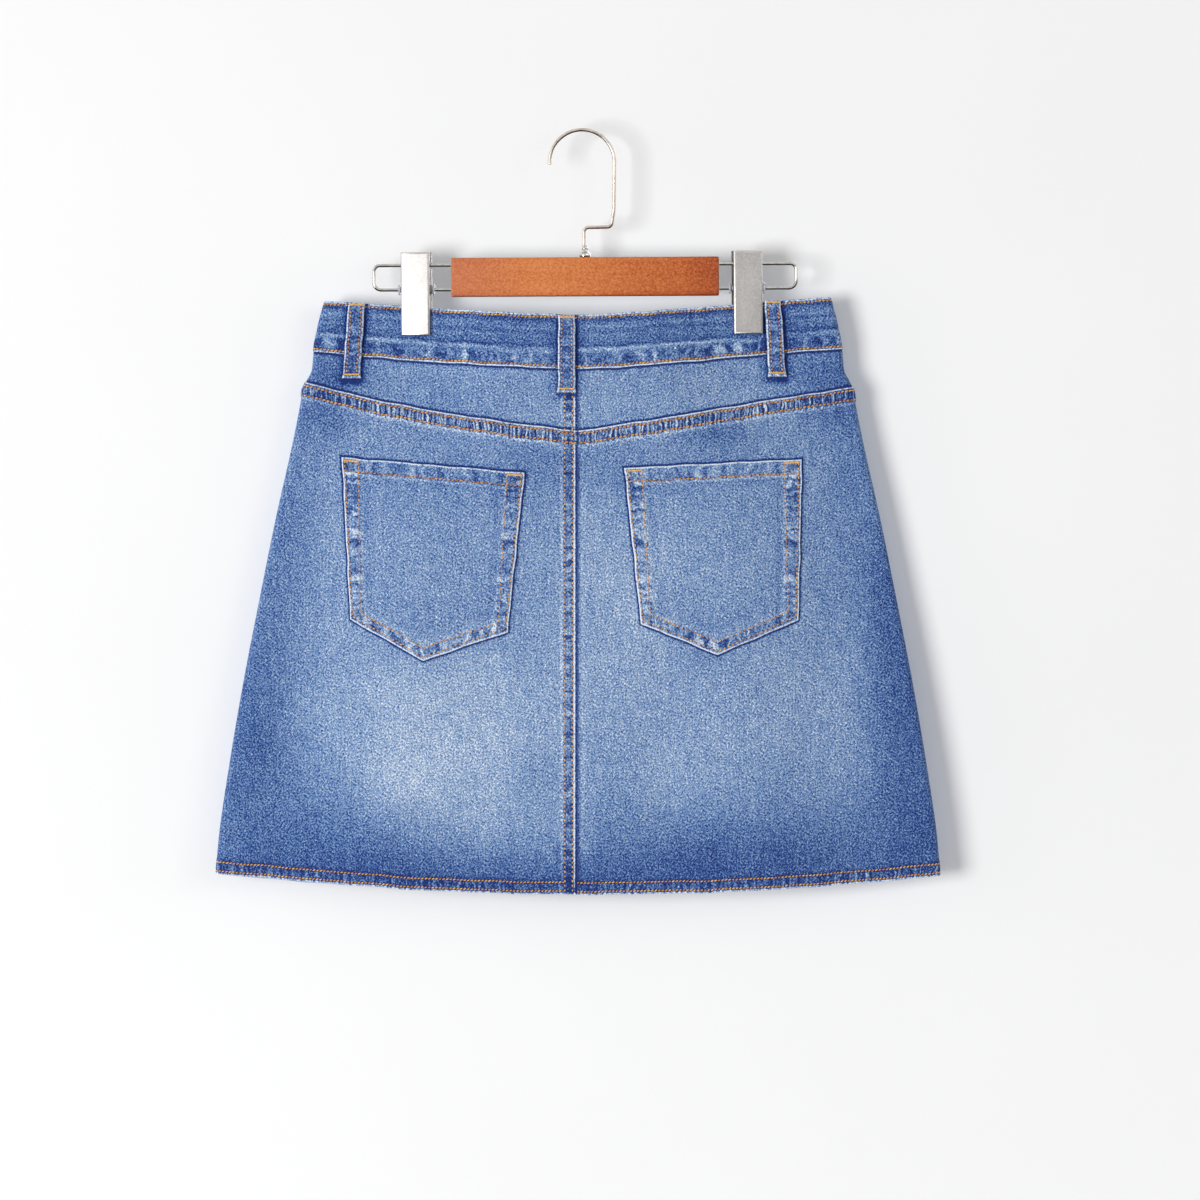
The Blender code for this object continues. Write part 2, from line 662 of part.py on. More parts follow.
def add_wire_loop(frame, side, name):
    """The long eye of wire that runs out of one end of the bar and back."""
    start_x = BAR_LENGTH / 2 + SEAM_GAP
    corners = [
        Vector((side * start_x, 0, WIRE_RISE)),
        Vector((side * WIRE_REACH, 0, WIRE_RISE)),
        Vector((side * WIRE_REACH, 0, -WIRE_RISE)),
        Vector((side * start_x, 0, -WIRE_RISE)),
    ]
    add_wire(name, rounded_route(corners, [WIRE_CORNER, WIRE_CORNER + 1]), WIRE_RADIUS, 2, frame)


def add_hook():
    """A round hook whose stem jogs sideways, back under its top."""
    inner = HOOK_RADIUS - HOOK_WIRE_RADIUS
    centre = Vector((HOOK_CENTRE_X, 0, -math.sqrt(inner ** 2 - HOOK_CENTRE_X ** 2)))
    route = []
    for step in range(HOOK_ARC_STEPS + 1):
        angle = math.radians(mix(HOOK_TIP_ANGLE, 0, step / HOOK_ARC_STEPS))
        route.append(centre + Vector((math.cos(angle), 0, math.sin(angle))) * HOOK_RADIUS)
    stem = [Vector((x, 0, z)) for x, z in HOOK_STEM]
    route += rounded_route([route.pop()] + stem, HOOK_STEM_RADII, corner_steps=3)
    add_wire("hanger_hook", route, HOOK_WIRE_RADIUS, 3)

    foot_z = HANGER_Z + BAR_HEIGHT / 2 + SEAM_GAP
    neck_z = HOOK_STEM[-1][1] - SEAM_GAP
    profile = (
        (0, foot_z), (3.8, foot_z), (4.1, foot_z + 0.5), (4.1, foot_z + 2.6), (3.4, foot_z + 3.3),
        (2.3, foot_z + 3.9), (2.1, neck_z - 0.3), (1.7, neck_z), (0, neck_z),
    )
    add_object("hook_ferrule", turned_mesh("hook_ferrule", profile, steps=16), "nickel")


# ---- clips ------------------------------------------------------------------------------------------------
def add_clip(frame, side, name):
    """A clip turned with the cloth that it holds: two stamped leaves and the bushing on the lower wire."""
    turn = side * math.atan(2 * bow_at(-150) / CLIP_REACH)
    holder = bpy.data.objects.new(f"{name}_holder", None)
    bpy.context.scene.collection.objects.link(holder)
    holder.parent = frame
    holder.location = metres(Vector((clip_x(side), 0, 0)))
    holder.rotation_euler.z = turn
    notches = add_wire_notches(f"{name}_notches", frame, side)
    for leaf, way in (("near", -1), ("far", 1)):
        add_clip_leaf(f"{name}_{leaf}", way, holder, notches)
    sleeve, flange, bore = BUSHING_SLEEVE, BUSHING_FLANGE, WIRE_RADIUS + BUSHING_CLEARANCE
    mouth = CLIP_WIDTH / 2 + BUSHING_SIDE_PLAY
    end = mouth + BUSHING_FLANGE_WIDTH
    profile = (
        (bore, -end), (flange, -end), (flange, -mouth), (sleeve, -mouth),
        (sleeve, mouth), (flange, mouth), (flange, end), (bore, end), (bore, -end),
    )
    bushing = add_object(f"{name}_bushing", turned_mesh(f"{name}_bushing", profile, 14), "clear_plastic", frame)
    bushing.location = metres(Vector((clip_x(side), 0, -WIRE_RISE)))
    bushing.rotation_euler.y = math.pi / 2


def add_wire_notches(name, frame, side):
    """The cutter that lets both wires, and the bushing, through a clip's side walls."""
    shape = bmesh.new()
    for height, rise in ((WIRE_RISE, NOTCH_RISE), (-WIRE_RISE, BUSHING_NOTCH_RISE)):
        box = bmesh.ops.create_cube(shape, size=1)["verts"]
        bmesh.ops.scale(shape, vec=(2 * CLIP_WIDTH, NOTCH_DEPTH, rise), verts=box)
        bmesh.ops.translate(shape, vec=(0, 0, height), verts=box)
    notches = bpy.data.objects.new(name, finished_mesh(name, shape))
    bpy.context.scene.collection.objects.link(notches)
    notches.parent = frame
    notches.location = metres(Vector((clip_x(side), 0, 0)))
    notches.hide_render = True
    notches.display_type = "WIRE"
    return notches


def add_clip_leaf(name, way, holder, notches):
    """A shallow steel tray, open towards the cloth, with rounded edges."""
    rim = PINCH_HALF_GAP + BAND_OUT + CLIP_CLEARANCE
    height = CLIP_TOP - CLIP_FOOT
    shape = box_shape(CLIP_WIDTH, CLIP_LEAF_DEPTH, height)
    face = [
        edge for edge in shape.edges
        if all(vertex.co.y * way > 0 for vertex in edge.verts)
    ]
    bmesh.ops.bevel(shape, geom=face, offset=CLIP_BEND, affect="EDGES", segments=3, profile=0.5, material=-1)
    bmesh.ops.inset_region(shape, faces=rim_faces(shape, way), thickness=CLIP_STEEL, use_even_offset=True)
    floor = rim_faces(shape, way)
    well = min(floor, key=lambda tray: max(abs(vertex.co.x) for vertex in tray.verts))
    bmesh.ops.translate(shape, vec=(0, way * (CLIP_LEAF_DEPTH - CLIP_STEEL), 0), verts=well.verts)
    bmesh.ops.translate(
        shape, vec=(0, way * (rim + CLIP_LEAF_DEPTH / 2), (CLIP_TOP + CLIP_FOOT) / 2), verts=shape.verts
    )
    leaf = add_object(name, finished_mesh(name, shape, smooth=True), "nickel", holder)
    cut = leaf.modifiers.new("wire_notches", "BOOLEAN")
    cut.operation = "DIFFERENCE"
    cut.solver = "EXACT"
    cut.object = notches


def rim_faces(shape, way):
    """The faces of a leaf that look at the cloth."""
    shape.normal_update()
    return [face for face in shape.faces if face.normal.y * way < -0.9]


# ---- the whole part ---------------------------------------------------------------------------------------
def build():
    for old in list(bpy.data.objects):
        bpy.data.objects.remove(old)
    add_waistband()
    add_yoke()
    add_back_panels()
    add_front_panels()
    for pocket in POCKETS:
        add_pocket(pocket)
    for loop in BELT_LOOPS:
        add_belt_loop(loop)
    add_waist_button()
    frame = add_hanger_frame()
    add_bar(frame)
    for side, word in ((-1, "left"), (1, "right")):
        add_wire_loop(frame, side, f"hanger_wire_{word}")
        add_clip(frame, side, f"clip_{word}")
    add_hook()


build()
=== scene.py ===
import math
import random
from bisect import bisect_right
from collections import namedtuple
from functools import lru_cache, partial

import bmesh
import bpy
from mathutils import Matrix, Vector


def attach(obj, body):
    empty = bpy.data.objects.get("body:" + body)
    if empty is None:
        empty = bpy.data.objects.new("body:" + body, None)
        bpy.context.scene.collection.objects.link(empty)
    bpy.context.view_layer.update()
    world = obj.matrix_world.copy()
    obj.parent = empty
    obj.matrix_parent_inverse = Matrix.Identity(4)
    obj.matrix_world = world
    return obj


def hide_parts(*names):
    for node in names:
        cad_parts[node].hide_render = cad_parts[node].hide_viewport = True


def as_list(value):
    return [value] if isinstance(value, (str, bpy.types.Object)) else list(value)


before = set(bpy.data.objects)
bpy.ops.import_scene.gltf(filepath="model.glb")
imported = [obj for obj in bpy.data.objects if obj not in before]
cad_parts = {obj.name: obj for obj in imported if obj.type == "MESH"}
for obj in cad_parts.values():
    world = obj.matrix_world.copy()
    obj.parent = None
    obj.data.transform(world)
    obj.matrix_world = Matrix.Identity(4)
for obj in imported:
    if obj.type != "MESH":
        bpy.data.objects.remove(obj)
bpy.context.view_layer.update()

# A washed denim mini skirt, seen from the back, on a hanger with a wooden bar and two clips. Shapes are made
# in millimetres and turned into metres when a mesh is finished. The skirt is a flattened tube: turn -1 is its
# left side fold, 0 the middle of the back, 1 the right side fold and 2 the middle of the front.

MM = 0.001

# ---- sizes of the cloth, as it is cut ----
MIDDLE_X = -5.3
FOLD_RADIUS = 5.0
FOLD_SHARE = 0.03
FILL_REACH = 0.55
SEAM_GAP = 0.3
CLOTH = 1.2
BAND_OUT = 0.7
BAND_IN = 1.5
FELL_WIDTH = 11.0
FELL_RAISE = 0.9
HEM_DEPTH = 10.5
HEM_IN = 3.0
HEM_RAISE = 0.35
HEM_LAYER = 1.4
FRONT_LAP = 30.0
LAP_RAMP = 12.0
LAP_CLEARANCE = 2.0
LAP_HEIGHT = BAND_OUT + SEAM_GAP + BAND_IN
BUTTON_FROM_END = 16.5
FLY_WIDTH = 36.0
FLY_LENGTH = 132.0
POCKET_SEAT = 0.3
POCKET_CLOTH = 1.0
POCKET_TURN_RAISE = 0.6
POCKET_SIDE_TURN = 13.2
POCKET_FOOT_TURN = 10.2
POCKET_MOUTH_TURN = 11.6
LOOP_WIDTH = 12.9
LOOP_CLOTH = 1.8
LOOP_END_CLOTH = 2.7
LOOP_BELT_GAP = 2.9
PAST_LOOP = 1.12

# ---- sizes of the hanger ----
HANGER_Z = -109.0
HANGER_TILT = -0.3
BAR_SIZE = (201.0, 12.0, 29.0)
HOOK_RADIUS = 24.4
HOOK_WIRE = 1.3
SIDE_WIRE = 1.25
EYE_HALF_HEIGHT = 9.2
CLIP_REACH = 124.1
CLIPS_MIDDLE_X = -2.5
CLIP_WIDTH = 22.0
CLIP_FOOT = -43.9
PINCH_HALF_GAP = 1.75
PINCH_SIDEWAYS = 60.0
PINCH_DOWNWARDS = 100.0

# ---- where the stitches run, in from the edge that each row follows ----
TOP_ROW = 2.5
WAIST_ROW = 2.3
FELL_ROWS = (2.6, 9.6)
MIDDLE_ROWS = (4.1, 9.7)
HEM_ROWS = (2.4, 9.0)
POCKET_ROWS = (2.4, 13.2)
POCKET_FOOT_ROWS = (3.0, 10.0)
POCKET_MOUTH_ROW = POCKET_MOUTH_TURN - 1.2
LOOP_ROW = 2.7
FLY_ROWS = (31.0, 25.0)

# The tube at each height: height, half width, gap between back and front, and bow between the clips.
SECTIONS = (
    (-580, 273.6, 33.0, 0.0), (-532, 270.0, 33.0, 0.3), (-472, 261.4, 32.0, 1.2),
    (-412, 251.2, 31.0, 2.5), (-352, 239.6, 29.0, 4.0), (-292, 227.6, 26.0, 5.5),
    (-232, 214.3, 22.0, 7.0), (-204, 208.8, 19.0, 7.8), (-194, 207.2, 18.0, 8.0),
    (-187, 204.2, 17.0, 8.3), (-179, 200.2, 16.0, 8.6), (-165, 198.9, 15.0, 9.0),
    (-150, 195.8, 14.0, 9.0), (-127, 190.3, 13.0, 9.0), (-112, 187.0, 13.0, 9.0),
)
SeamLine = namedtuple("SeamLine", "left two_thirds_left third_left middle third_right two_thirds_right right")
TOP_EDGE = SeamLine(-127.0, -131.0, -135.3, -138.0, -134.3, -129.0, -123.8)
WAIST_SEAM = SeamLine(-165.0, -171.5, -176.0, -179.0, -174.7, -168.3, -163.1)
YOKE_SEAM = SeamLine(-187.5, -203.6, -215.8, -225.0, -214.1, -202.2, -191.3)
HEM_EDGE = SeamLine(-557.0, -564.2, -570.2, -572.3, -571.0, -566.2, -558.5)

Pocket = namedtuple("Pocket", "name top_left top_right foot_right tip foot_left taper")
POCKETS = (
    Pocket(
        "pocket_left", (-182.5, -244.5), (-45.0, -256.5), (-57.8, -375.8), (-120.8, -397.5), (-175.9, -366.5),
        (9.5, 9.0),
    ),
    Pocket(
        "pocket_right", (29.3, -252.8), (162.8, -246.0), (160.0, -366.8), (99.5, -393.0), (41.8, -369.8),
        (9.0, 9.5),
    ),
)
BeltLoop = namedtuple("BeltLoop", "name front top_x top_z foot_x foot_z foot_seat")
BELT_LOOPS = (
    BeltLoop("belt_loop_back_left", False, -171.4, -128.6, -175.5, -185.3, 0.3),
    BeltLoop("belt_loop_back_middle", False, -13.7, -138.6, -13.7, -196.5, 1.2),
    BeltLoop("belt_loop_back_right", False, 140.6, -126.6, 144.2, -184.2, 0.3),
    BeltLoop("belt_loop_front_left", True, -98.0, -142.4, -101.0, -196.4, 0.4),
    BeltLoop("belt_loop_front_right", True, 87.0, -141.4, 90.0, -195.4, 0.4),
)

# Soft folds of the hanging cloth: where each starts and ends, its reach to either side and its rise.
# A short fold fades out at its end, past which it runs on for a little, and a long one runs out at the hem.
Fold = namedtuple("Fold", "start end reach rise")
PAST_FOLD = 1.15
LONG_FOLD = 200
BACK_FOLDS = [Fold(*row) for row in (
    ((-238, -330), (-256, -575), 15, 0.8), ((-203, -250), (-224, -575), 24, -1.0),
    ((-137, -205), (-152, -575), 36, 1.2), ((-66, -285), (-74, -575), 30, -0.9),
    ((12, -320), (22, -575), 30, 0.9), ((60, -400), (66, -575), 22, -0.6),
    ((118, -205), (122, -575), 38, 1.2), ((178, -270), (196, -575), 26, -1.0),
    ((222, -340), (243, -575), 16, 0.7), ((-110, -150), (-20, -158), 7, -0.35),
    ((30, -158), (112, -147), 7, -0.3), ((-185, -150), (-140, -152), 8, -0.3),
    ((-95, -205), (-40, -262), 12, 0.4), ((80, -200), (34, -262), 12, 0.4),
)]
FRONT_FOLDS = [Fold(*row) for row in (
    ((-236, -330), (-252, -575), 17, -0.8), ((-176, -220), (-196, -575), 30, 1.3),
    ((-104, -250), (-118, -575), 32, -1.1), ((-48, -330), (-52, -575), 24, 0.8),
    ((34, -300), (42, -575), 26, -0.8), ((100, -225), (112, -575), 36, 1.3),
    ((160, -260), (180, -575), 26, -1.0), ((214, -330), (236, -575), 20, 0.9),
    ((-20, -200), (-70, -250), 12, 0.5), ((14, -205), (62, -258), 12, 0.4),
    ((-120, -158), (-40, -176), 8, -0.35), ((40, -176), (130, -158), 8, -0.35),
)]

# The wash: lighter and darker places, their middles, reach to either side and strength. The darker places
# along the side folds are partly wash and partly painted shade.
Wash = namedtuple("Wash", "x z reach_x reach_z strength")
BACK_WASH = [Wash(*row) for row in (
    (-112, -470, 80, 60, 0.21), (-100, -420, 92, 60, 0.07), (84, -478, 52, 52, 0.06),
    (40, -410, 60, 90, 0.10), (20, -330, 46, 90, 0.08), (-34, -340, 22, 80, 0.04),
    (-45, -258, 60, 22, -0.09), (60, -250, 90, 20, -0.04), (98, -224, 34, 14, -0.15),
    (98, -310, 60, 60, 0.04), (172, -450, 50, 60, 0.09), (-190, -335, 34, 76, 0.06),
    (-250, -430, 44, 150, -0.16), (228, -300, 34, 110, -0.16), (262, -440, 50, 150, -0.19),
    (-262, -530, 90, 60, -0.10), (-165, -538, 56, 30, -0.18), (105, -534, 72, 34, -0.15),
    (225, -525, 80, 60, -0.12), (-120, -566, 190, 26, -0.20), (110, -566, 190, 28, -0.16),
    (-196, -192, 34, 34, -0.20), (190, -190, 40, 34, -0.24), (236, -400, 24, 130, -0.06),
    (199, -388, 18, 36, 0.08), (-221, -295, 20, 50, -0.06), (-251, -470, 22, 50, -0.05),
    (-191, -200, 22, 34, -0.08), (-191, -365, 16, 22, 0.07), (-131, -420, 34, 24, 0.06),
    (-71, -405, 22, 30, 0.05), (108, -435, 50, 34, 0.06), (145, -355, 34, 46, 0.04),
    (19, -505, 18, 40, -0.06), (-41, -478, 20, 30, -0.06), (-11, -240, 14, 36, -0.08),
    (130, -540, 110, 20, -0.05), (150, -170, 50, 30, -0.05), (-115, -162, 44, 16, -0.08),
    (-100, -205, 70, 22, -0.04), (0, -546, 300, 24, -0.02), (-165, -245, 52, 16, -0.04),
    (-71, -492, 18, 36, 0.05), (94, -222, 30, 14, -0.04),
)]
FRONT_WASH = [Wash(*row) for row in (
    (-118, -420, 70, 110, 0.18), (102, -430, 72, 110, 0.17), (-60, -250, 60, 26, 0.07),
    (70, -250, 60, 26, 0.06), (-262, -440, 44, 190, -0.14), (256, -440, 44, 190, -0.14),
    (0, -565, 300, 26, -0.20), (-4, -330, 24, 120, -0.06),
)]

# How far a sewn edge strays from its line: waves with a reach, a pace along the edge and a start.
WANDERS = ((0.18, 5.1, 0.0), (0.15, 8.3, 1.0), (0.1, 3.3, 2.0))


# ---- curves ----
def steady_curve(stations, values):
    """A smooth curve through the values that never swings past them."""
    spans = [after - before for before, after in zip(stations, stations[1:])]
    slopes = [(after - before) / span for before, after, span in zip(values, values[1:], spans)]
    tangents = [slopes[0]]
    for before, after in zip(slopes, slopes[1:]):
        tangents.append(2 * before * after / (before + after) if before * after > 0 else 0.0)
    tangents.append(slopes[-1])

    @lru_cache(maxsize=2048)
    def read(station):
        station = min(max(station, stations[0]), stations[-1])
        i = min(bisect_right(stations, station) - 1, len(spans) - 1)
        t = (station - stations[i]) / spans[i]
        start = (1 + 2 * t) * (1 - t) ** 2 * values[i] + t * (1 - t) ** 2 * spans[i] * tangents[i]
        end = t * t * (3 - 2 * t) * values[i + 1] - t * t * (1 - t) * spans[i] * tangents[i + 1]
        return start + end

    return read


def pointed_curve(stations, values):
    """Two smooth curves that meet at a corner over the middle station."""
    middle = len(stations) // 2
    before = steady_curve(stations[:middle + 1], values[:middle + 1])
    after = steady_curve(stations[middle:], values[middle:])
    return lambda station: before(station) if station < stations[middle] else after(station)


def ease(share):
    """0 to 1 with a level start and end."""
    share = min(max(share, 0.0), 1.0)
    return share * share * (3 - 2 * share)


def until(place, edge, ramp):
    """1 up to an edge, then down to 0 over a ramp."""
    return 1 - ease((place - edge) / ramp)


def mix(start, end, share):
    return start + (end - start) * share


def hill(place, middle, reach):
    """1 at its middle, down to 0 at its reach."""
    return until(abs(place - middle), 0.0, reach)


def hills(place, *rows):
    """Hills added up. Each row is a strength, a middle and a reach."""
    return sum(strength * hill(place, middle, reach) for strength, middle, reach in rows)


def rounded(inward, radius):
    """Share of the cloth's thickness that is left so close to an edge."""
    return max(0.12, math.sqrt(1 - (1 - min(max(inward, 0.0) / radius, 1.0)) ** 2))


HEIGHTS, HALF_WIDTHS, GAPS, BOWS = zip(*SECTIONS)
half_width_at = steady_curve(HEIGHTS, HALF_WIDTHS)
gap_at = steady_curve(HEIGHTS, GAPS)
bow_at = steady_curve(HEIGHTS, BOWS)


# ---- the tube of cloth ----
def clip_x(side):
    return CLIPS_MIDDLE_X + side * CLIP_REACH


def squeeze(x, height):
    """1 between a clip's jaws, fading to 0 around and below it."""
    below = max(0.0, HANGER_Z + CLIP_FOOT - height) / PINCH_DOWNWARDS
    strongest = 0.0
    for side in (-1, 1):
        beside = max(0.0, abs(x - clip_x(side)) - CLIP_WIDTH / 2 - 2) / PINCH_SIDEWAYS
        strongest = max(strongest, 1 - ease(math.hypot(beside, below)))
    return strongest


def middle_surface(x, bow):
    """How far the layer halfway between back and front bows towards the viewer between the clips."""
    across = abs(x - CLIPS_MIDDLE_X)
    if across <= CLIP_REACH:
        return bow * ((across / CLIP_REACH) ** 2 - 1)
    beyond = across - CLIP_REACH
    return 2 * bow / CLIP_REACH * beyond * (1 - beyond / (2 * CLIP_REACH))


def within_round(turn):
    """The same turn, from -1 up to 3."""
    return (turn + 1) % 4 - 1


def on_front(turn):
    return within_round(turn) > 1


def folded_side(turn, half_width):
    """The turn's share across its side, and how far round and in from the side fold it is."""
    across = 2 - within_round(turn) if on_front(turn) else within_round(turn)
    inward = 1 - abs(across)
    if inward < FOLD_SHARE:
        angle = inward / FOLD_SHARE * math.pi / 2
        return across, angle, FOLD_RADIUS * (1 - math.cos(angle))
    return across, math.pi / 2, mix(FOLD_RADIUS, half_width, (inward - FOLD_SHARE) / (1 - FOLD_SHARE))


def tube_point(turn, height):
    """A point of the panels' outer face, before its soft folds."""
    half_width = half_width_at(height)
    across, angle, from_side = folded_side(turn, half_width)
    opened = ease(from_side / (FILL_REACH * half_width))
    depth = FOLD_RADIUS * math.sin(angle) + (gap_at(height) / 2 - FOLD_RADIUS) * opened
    x = MIDDLE_X + math.copysign(half_width - from_side, across)
    depth = mix(depth, PINCH_HALF_GAP, squeeze(x, height) * min(1.0, from_side / FOLD_RADIUS))
    return Vector((x, middle_surface(x, bow_at(height)) + (depth if on_front(turn) else -depth), height))


def tube_normal(turn, height):
    around = tube_point(turn + 0.0005, height) - tube_point(turn - 0.0005, height)
    upward = tube_point(turn, height + 0.5) - tube_point(turn, height - 0.5)
    return around.cross(upward).normalized()


def fold_rise(x, height, front):
    """How far the soft folds lift the cloth there."""
    rise = 0.0
    for fold in FRONT_FOLDS if front else BACK_FOLDS:
        run_x, run_z = fold.end[0] - fold.start[0], fold.end[1] - fold.start[1]
        off_x, off_z = x - fold.start[0], height - fold.start[1]
        length = math.hypot(run_x, run_z)
        share = (off_x * run_x + off_z * run_z) / length ** 2
        if not 0 < share < PAST_FOLD:
            continue
        sway = fold.reach * 0.25 * math.sin(share * 7 + fold.reach)
        away = abs((off_x * run_z - off_z * run_x) / length + sway) / (fold.reach * 1.5)
        fade_out = 1 if abs(run_z) > LONG_FOLD else ease((PAST_FOLD - share) * 2.5)
        rise += fold.rise * (1 - ease(away)) * ease(share * 2.2) * fade_out
    return rise * (1 - squeeze(x, height)) ** 2


def on_cloth(turn, height, out=0.0):
    """A place so far off the panels' outer face with its folds, and the outward direction there."""
    base = tube_point(turn, height)
    outward = tube_normal(turn, height)
    edge = ease((half_width_at(height) - abs(base.x - MIDDLE_X)) / 22)
    return base + outward * (fold_rise(base.x, height, on_front(turn)) * edge + out), outward


def turns_per_mm(height):
    return (1 - FOLD_SHARE) / (half_width_at(height) - FOLD_RADIUS)


def turn_of(x, height, front=False):
    across = (x - MIDDLE_X) * turns_per_mm(height)
    return 2 - across if front else across


def along_cloth(turn, height):
    """Millimetres along the surface from the middle of that side."""
    half_width = half_width_at(height)
    across, angle, from_side = folded_side(turn, half_width)
    reach = half_width - max(from_side, FOLD_RADIUS) + FOLD_RADIUS * (math.pi / 2 - angle)
    return math.copysign(reach, across)


def wander(along):
    """How far a sewn edge strays from its line, in millimetres."""
    return sum(far * math.sin(along / pace + start) for far, pace, start in WANDERS)


def seam(line, front_dip, curve=steady_curve):
    """The height of a sewn line for each turn. On the front it is straight, but for a dip in its middle."""
    thirds = [third / 3 for third in range(-3, 4)]
    back_line = curve(thirds, line)

    def height_at(turn):
        turn = within_round(turn)
        if on_front(turn):
            across = 2 - turn
            height = mix(line.left, line.right, (across + 1) / 2) - front_dip * (1 - across * across)
            stray = wander(across * 200 + front_dip)
        else:
            across = turn
            height = back_line(turn)
            stray = wander(turn * 200 + line.left)
        return height + stray * min(1.0, (1 - abs(across)) * 9)

    return height_at


top_edge = seam(TOP_EDGE, 25.0)
waist_seam = seam(WAIST_SEAM, 25.0)
yoke_seam = seam(YOKE_SEAM, 0.0, pointed_curve)
hem_edge = seam(HEM_EDGE, 15.0)


def painted_loop_shadow(x, height, front):
    """Painted shadow beside and under the belt loops, stronger on their right side."""
    shade = 0.0
    for loop in BELT_LOOPS:
        along = (loop.top_z - height) / (loop.top_z - loop.foot_z)
        if loop.front != front or not -0.02 < along < PAST_LOOP:
            continue
        across = x - mix(loop.top_x, loop.foot_x, along)
        beside = abs(across) - LOOP_WIDTH / 2
        # Wider and darker on the right, the side away from the key light.
        strongest, reach = (1.5, 3.6) if across > 0 else (1.1, 2.4)
        near = strongest * until(beside, 0.4, reach)
        soft = 0.4 * until(beside, 0.0, 11) * ease(along / 0.3)
        shade = max(shade, max(near, soft) * ease((PAST_LOOP - along) / 0.1))
    return shade


def wash_at(x, height, front):
    """How much lighter or darker the wash leaves the cloth there."""
    total = 0.0
    for spot in FRONT_WASH if front else BACK_WASH:
        away = math.hypot((x - spot.x) / spot.reach_x, (height - spot.z) / spot.reach_z)
        total += spot.strength * (1 - ease(away / 1.6))
    return total


# ---- denim pieces ----
Station = namedtuple("Station", "share shift")
# The third mark darkens the cloth: mostly painted shade in grooves, beside raised edges and under laps,
# partly unfaded dye.
MARKS = ("wash", "wear", "crease", "bars", "run", "reverse")
Touch = namedtuple("Touch", "out inside wear crease bars run wash", defaults=(0.0, 0.0, 0.0, 0.0, 0.0))
Place = namedtuple("Place", "turn height touch")


def stations(*shares):
    return [Station(share, 0.0) for share in shares]


def even_stations(start, end, count):
    return stations(*(mix(start, end, step / (count + 1)) for step in range(1, count + 1)))


def edge_stations(share, way, shifts):
    """Stations so many millimetres in from the edge at that share."""
    return [Station(share, way * shift) for shift in (shifts if share == 0 else reversed(shifts))]


def beside_loops(columns, span, height, reach=13, pitch=0.8, closest=0.0025):
    """The columns with finer ones added across the place of each belt loop on the back."""
    start, end = span
    added = []
    for loop in BELT_LOOPS[:3]:
        middle = (loop.top_x + loop.foot_x) / 2
        for step in range(round(2 * reach / pitch) + 1):
            turn = turn_of(middle - reach + step * pitch, height)
            added += stations((turn - start) / (end - start))
    low, high = columns[len(FOLD_COLUMNS)].share, 0.92 if end == 0 else columns[-len(FOLD_COLUMNS) - 1].share
    added = [place for place in added if low < place.share < high]
    clear = [
        place for place in columns
        if place.shift or not any(abs(place.share - other.share) < closest for other in added)
    ]
    return sorted(clear + added, key=lambda place: (place.share, 0 if place.share else place.shift))


def cloth_piece(name, columns, rows, place_at, patch=0, loop_shadowed=False):
    """A thin closed wall of cloth. place_at(column, row) gives where it is and how it is touched there."""
    shape = bmesh.new()
    layers = {mark: shape.verts.layers.float.new(mark) for mark in MARKS}
    corner = shape.verts.layers.int.new("corner")
    cloth = shape.loops.layers.uv.new("cloth")
    bmesh.ops.create_grid(shape, x_segments=len(columns) - 1, y_segments=len(rows) - 1, size=1)
    inner = list(shape.verts)
    for index, vertex in enumerate(inner):
        vertex[corner] = index
    bmesh.ops.extrude_face_region(shape, geom=shape.faces[:])
    inner = set(inner)
    places = [place_at(column, row) for row in rows for column in columns]
    frames = [on_cloth(place.turn, place.height) for place in places]
    around = [along_cloth(place.turn, place.height) for place in places]
    washes, loop_shadows = [], []
    for (base, _), (turn, height, _) in zip(frames, places):
        washes.append(wash_at(base.x, height, on_front(turn)))
        loop_shadows.append(painted_loop_shadow(base.x, height, on_front(turn)) if loop_shadowed else 0.0)
    for vertex in shape.verts:
        index = vertex[corner]
        touch = places[index].touch
        base, outward = frames[index]
        inside = vertex in inner
        vertex.co = base + outward * (touch.inside if inside else touch.out)
        # The belt loops' painted shadow joins the other darkening.
        crease = max(touch.crease, loop_shadows[index])
        reverse = 1.0 if inside else 0.0
        worn = (touch.wash + washes[index], touch.wear, crease, touch.bars, touch.run * MM, reverse)
        for mark, value in zip(MARKS, worn):
            vertex[layers[mark]] = value
    for face in shape.faces:
        for loop in face.loops:
            index = loop.vert[corner]
            loop[cloth].uv = (around[index] * MM + patch * 0.7, places[index].height * MM + patch * 0.45)
    return finished(f"denim_{name}", shape, DENIM, crisp=70, replaced=[name])


def finished(name, shape, material, crisp=40, replaced=(), flat_faced=False):
    """A bmesh in millimetres made a piece of the object, with its faces outward."""
    bmesh.ops.recalc_face_normals(shape, faces=shape.faces)
    if shape.calc_volume(signed=True) < 0:
        bmesh.ops.reverse_faces(shape, faces=shape.faces)
    bmesh.ops.scale(shape, vec=(MM, MM, MM), verts=shape.verts)
    mesh = bpy.data.meshes.new(name)
    shape.to_mesh(mesh)
    shape.free()
    mesh.shade_smooth()
    mesh.set_sharp_from_angle(angle=math.radians(crisp))
    piece = placed(name, mesh, material, replaced)
    if flat_faced:
        piece.modifiers.new("even shading of the flats", "WEIGHTED_NORMAL").keep_sharp = True
    return piece


def placed(name, data, material, replaced=()):
    piece = bpy.data.objects.new(name, data)
    bpy.context.scene.collection.objects.link(piece)
    data.materials.append(material)
    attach(piece, "root")
    if replaced:
        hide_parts(*replaced)
    return piece


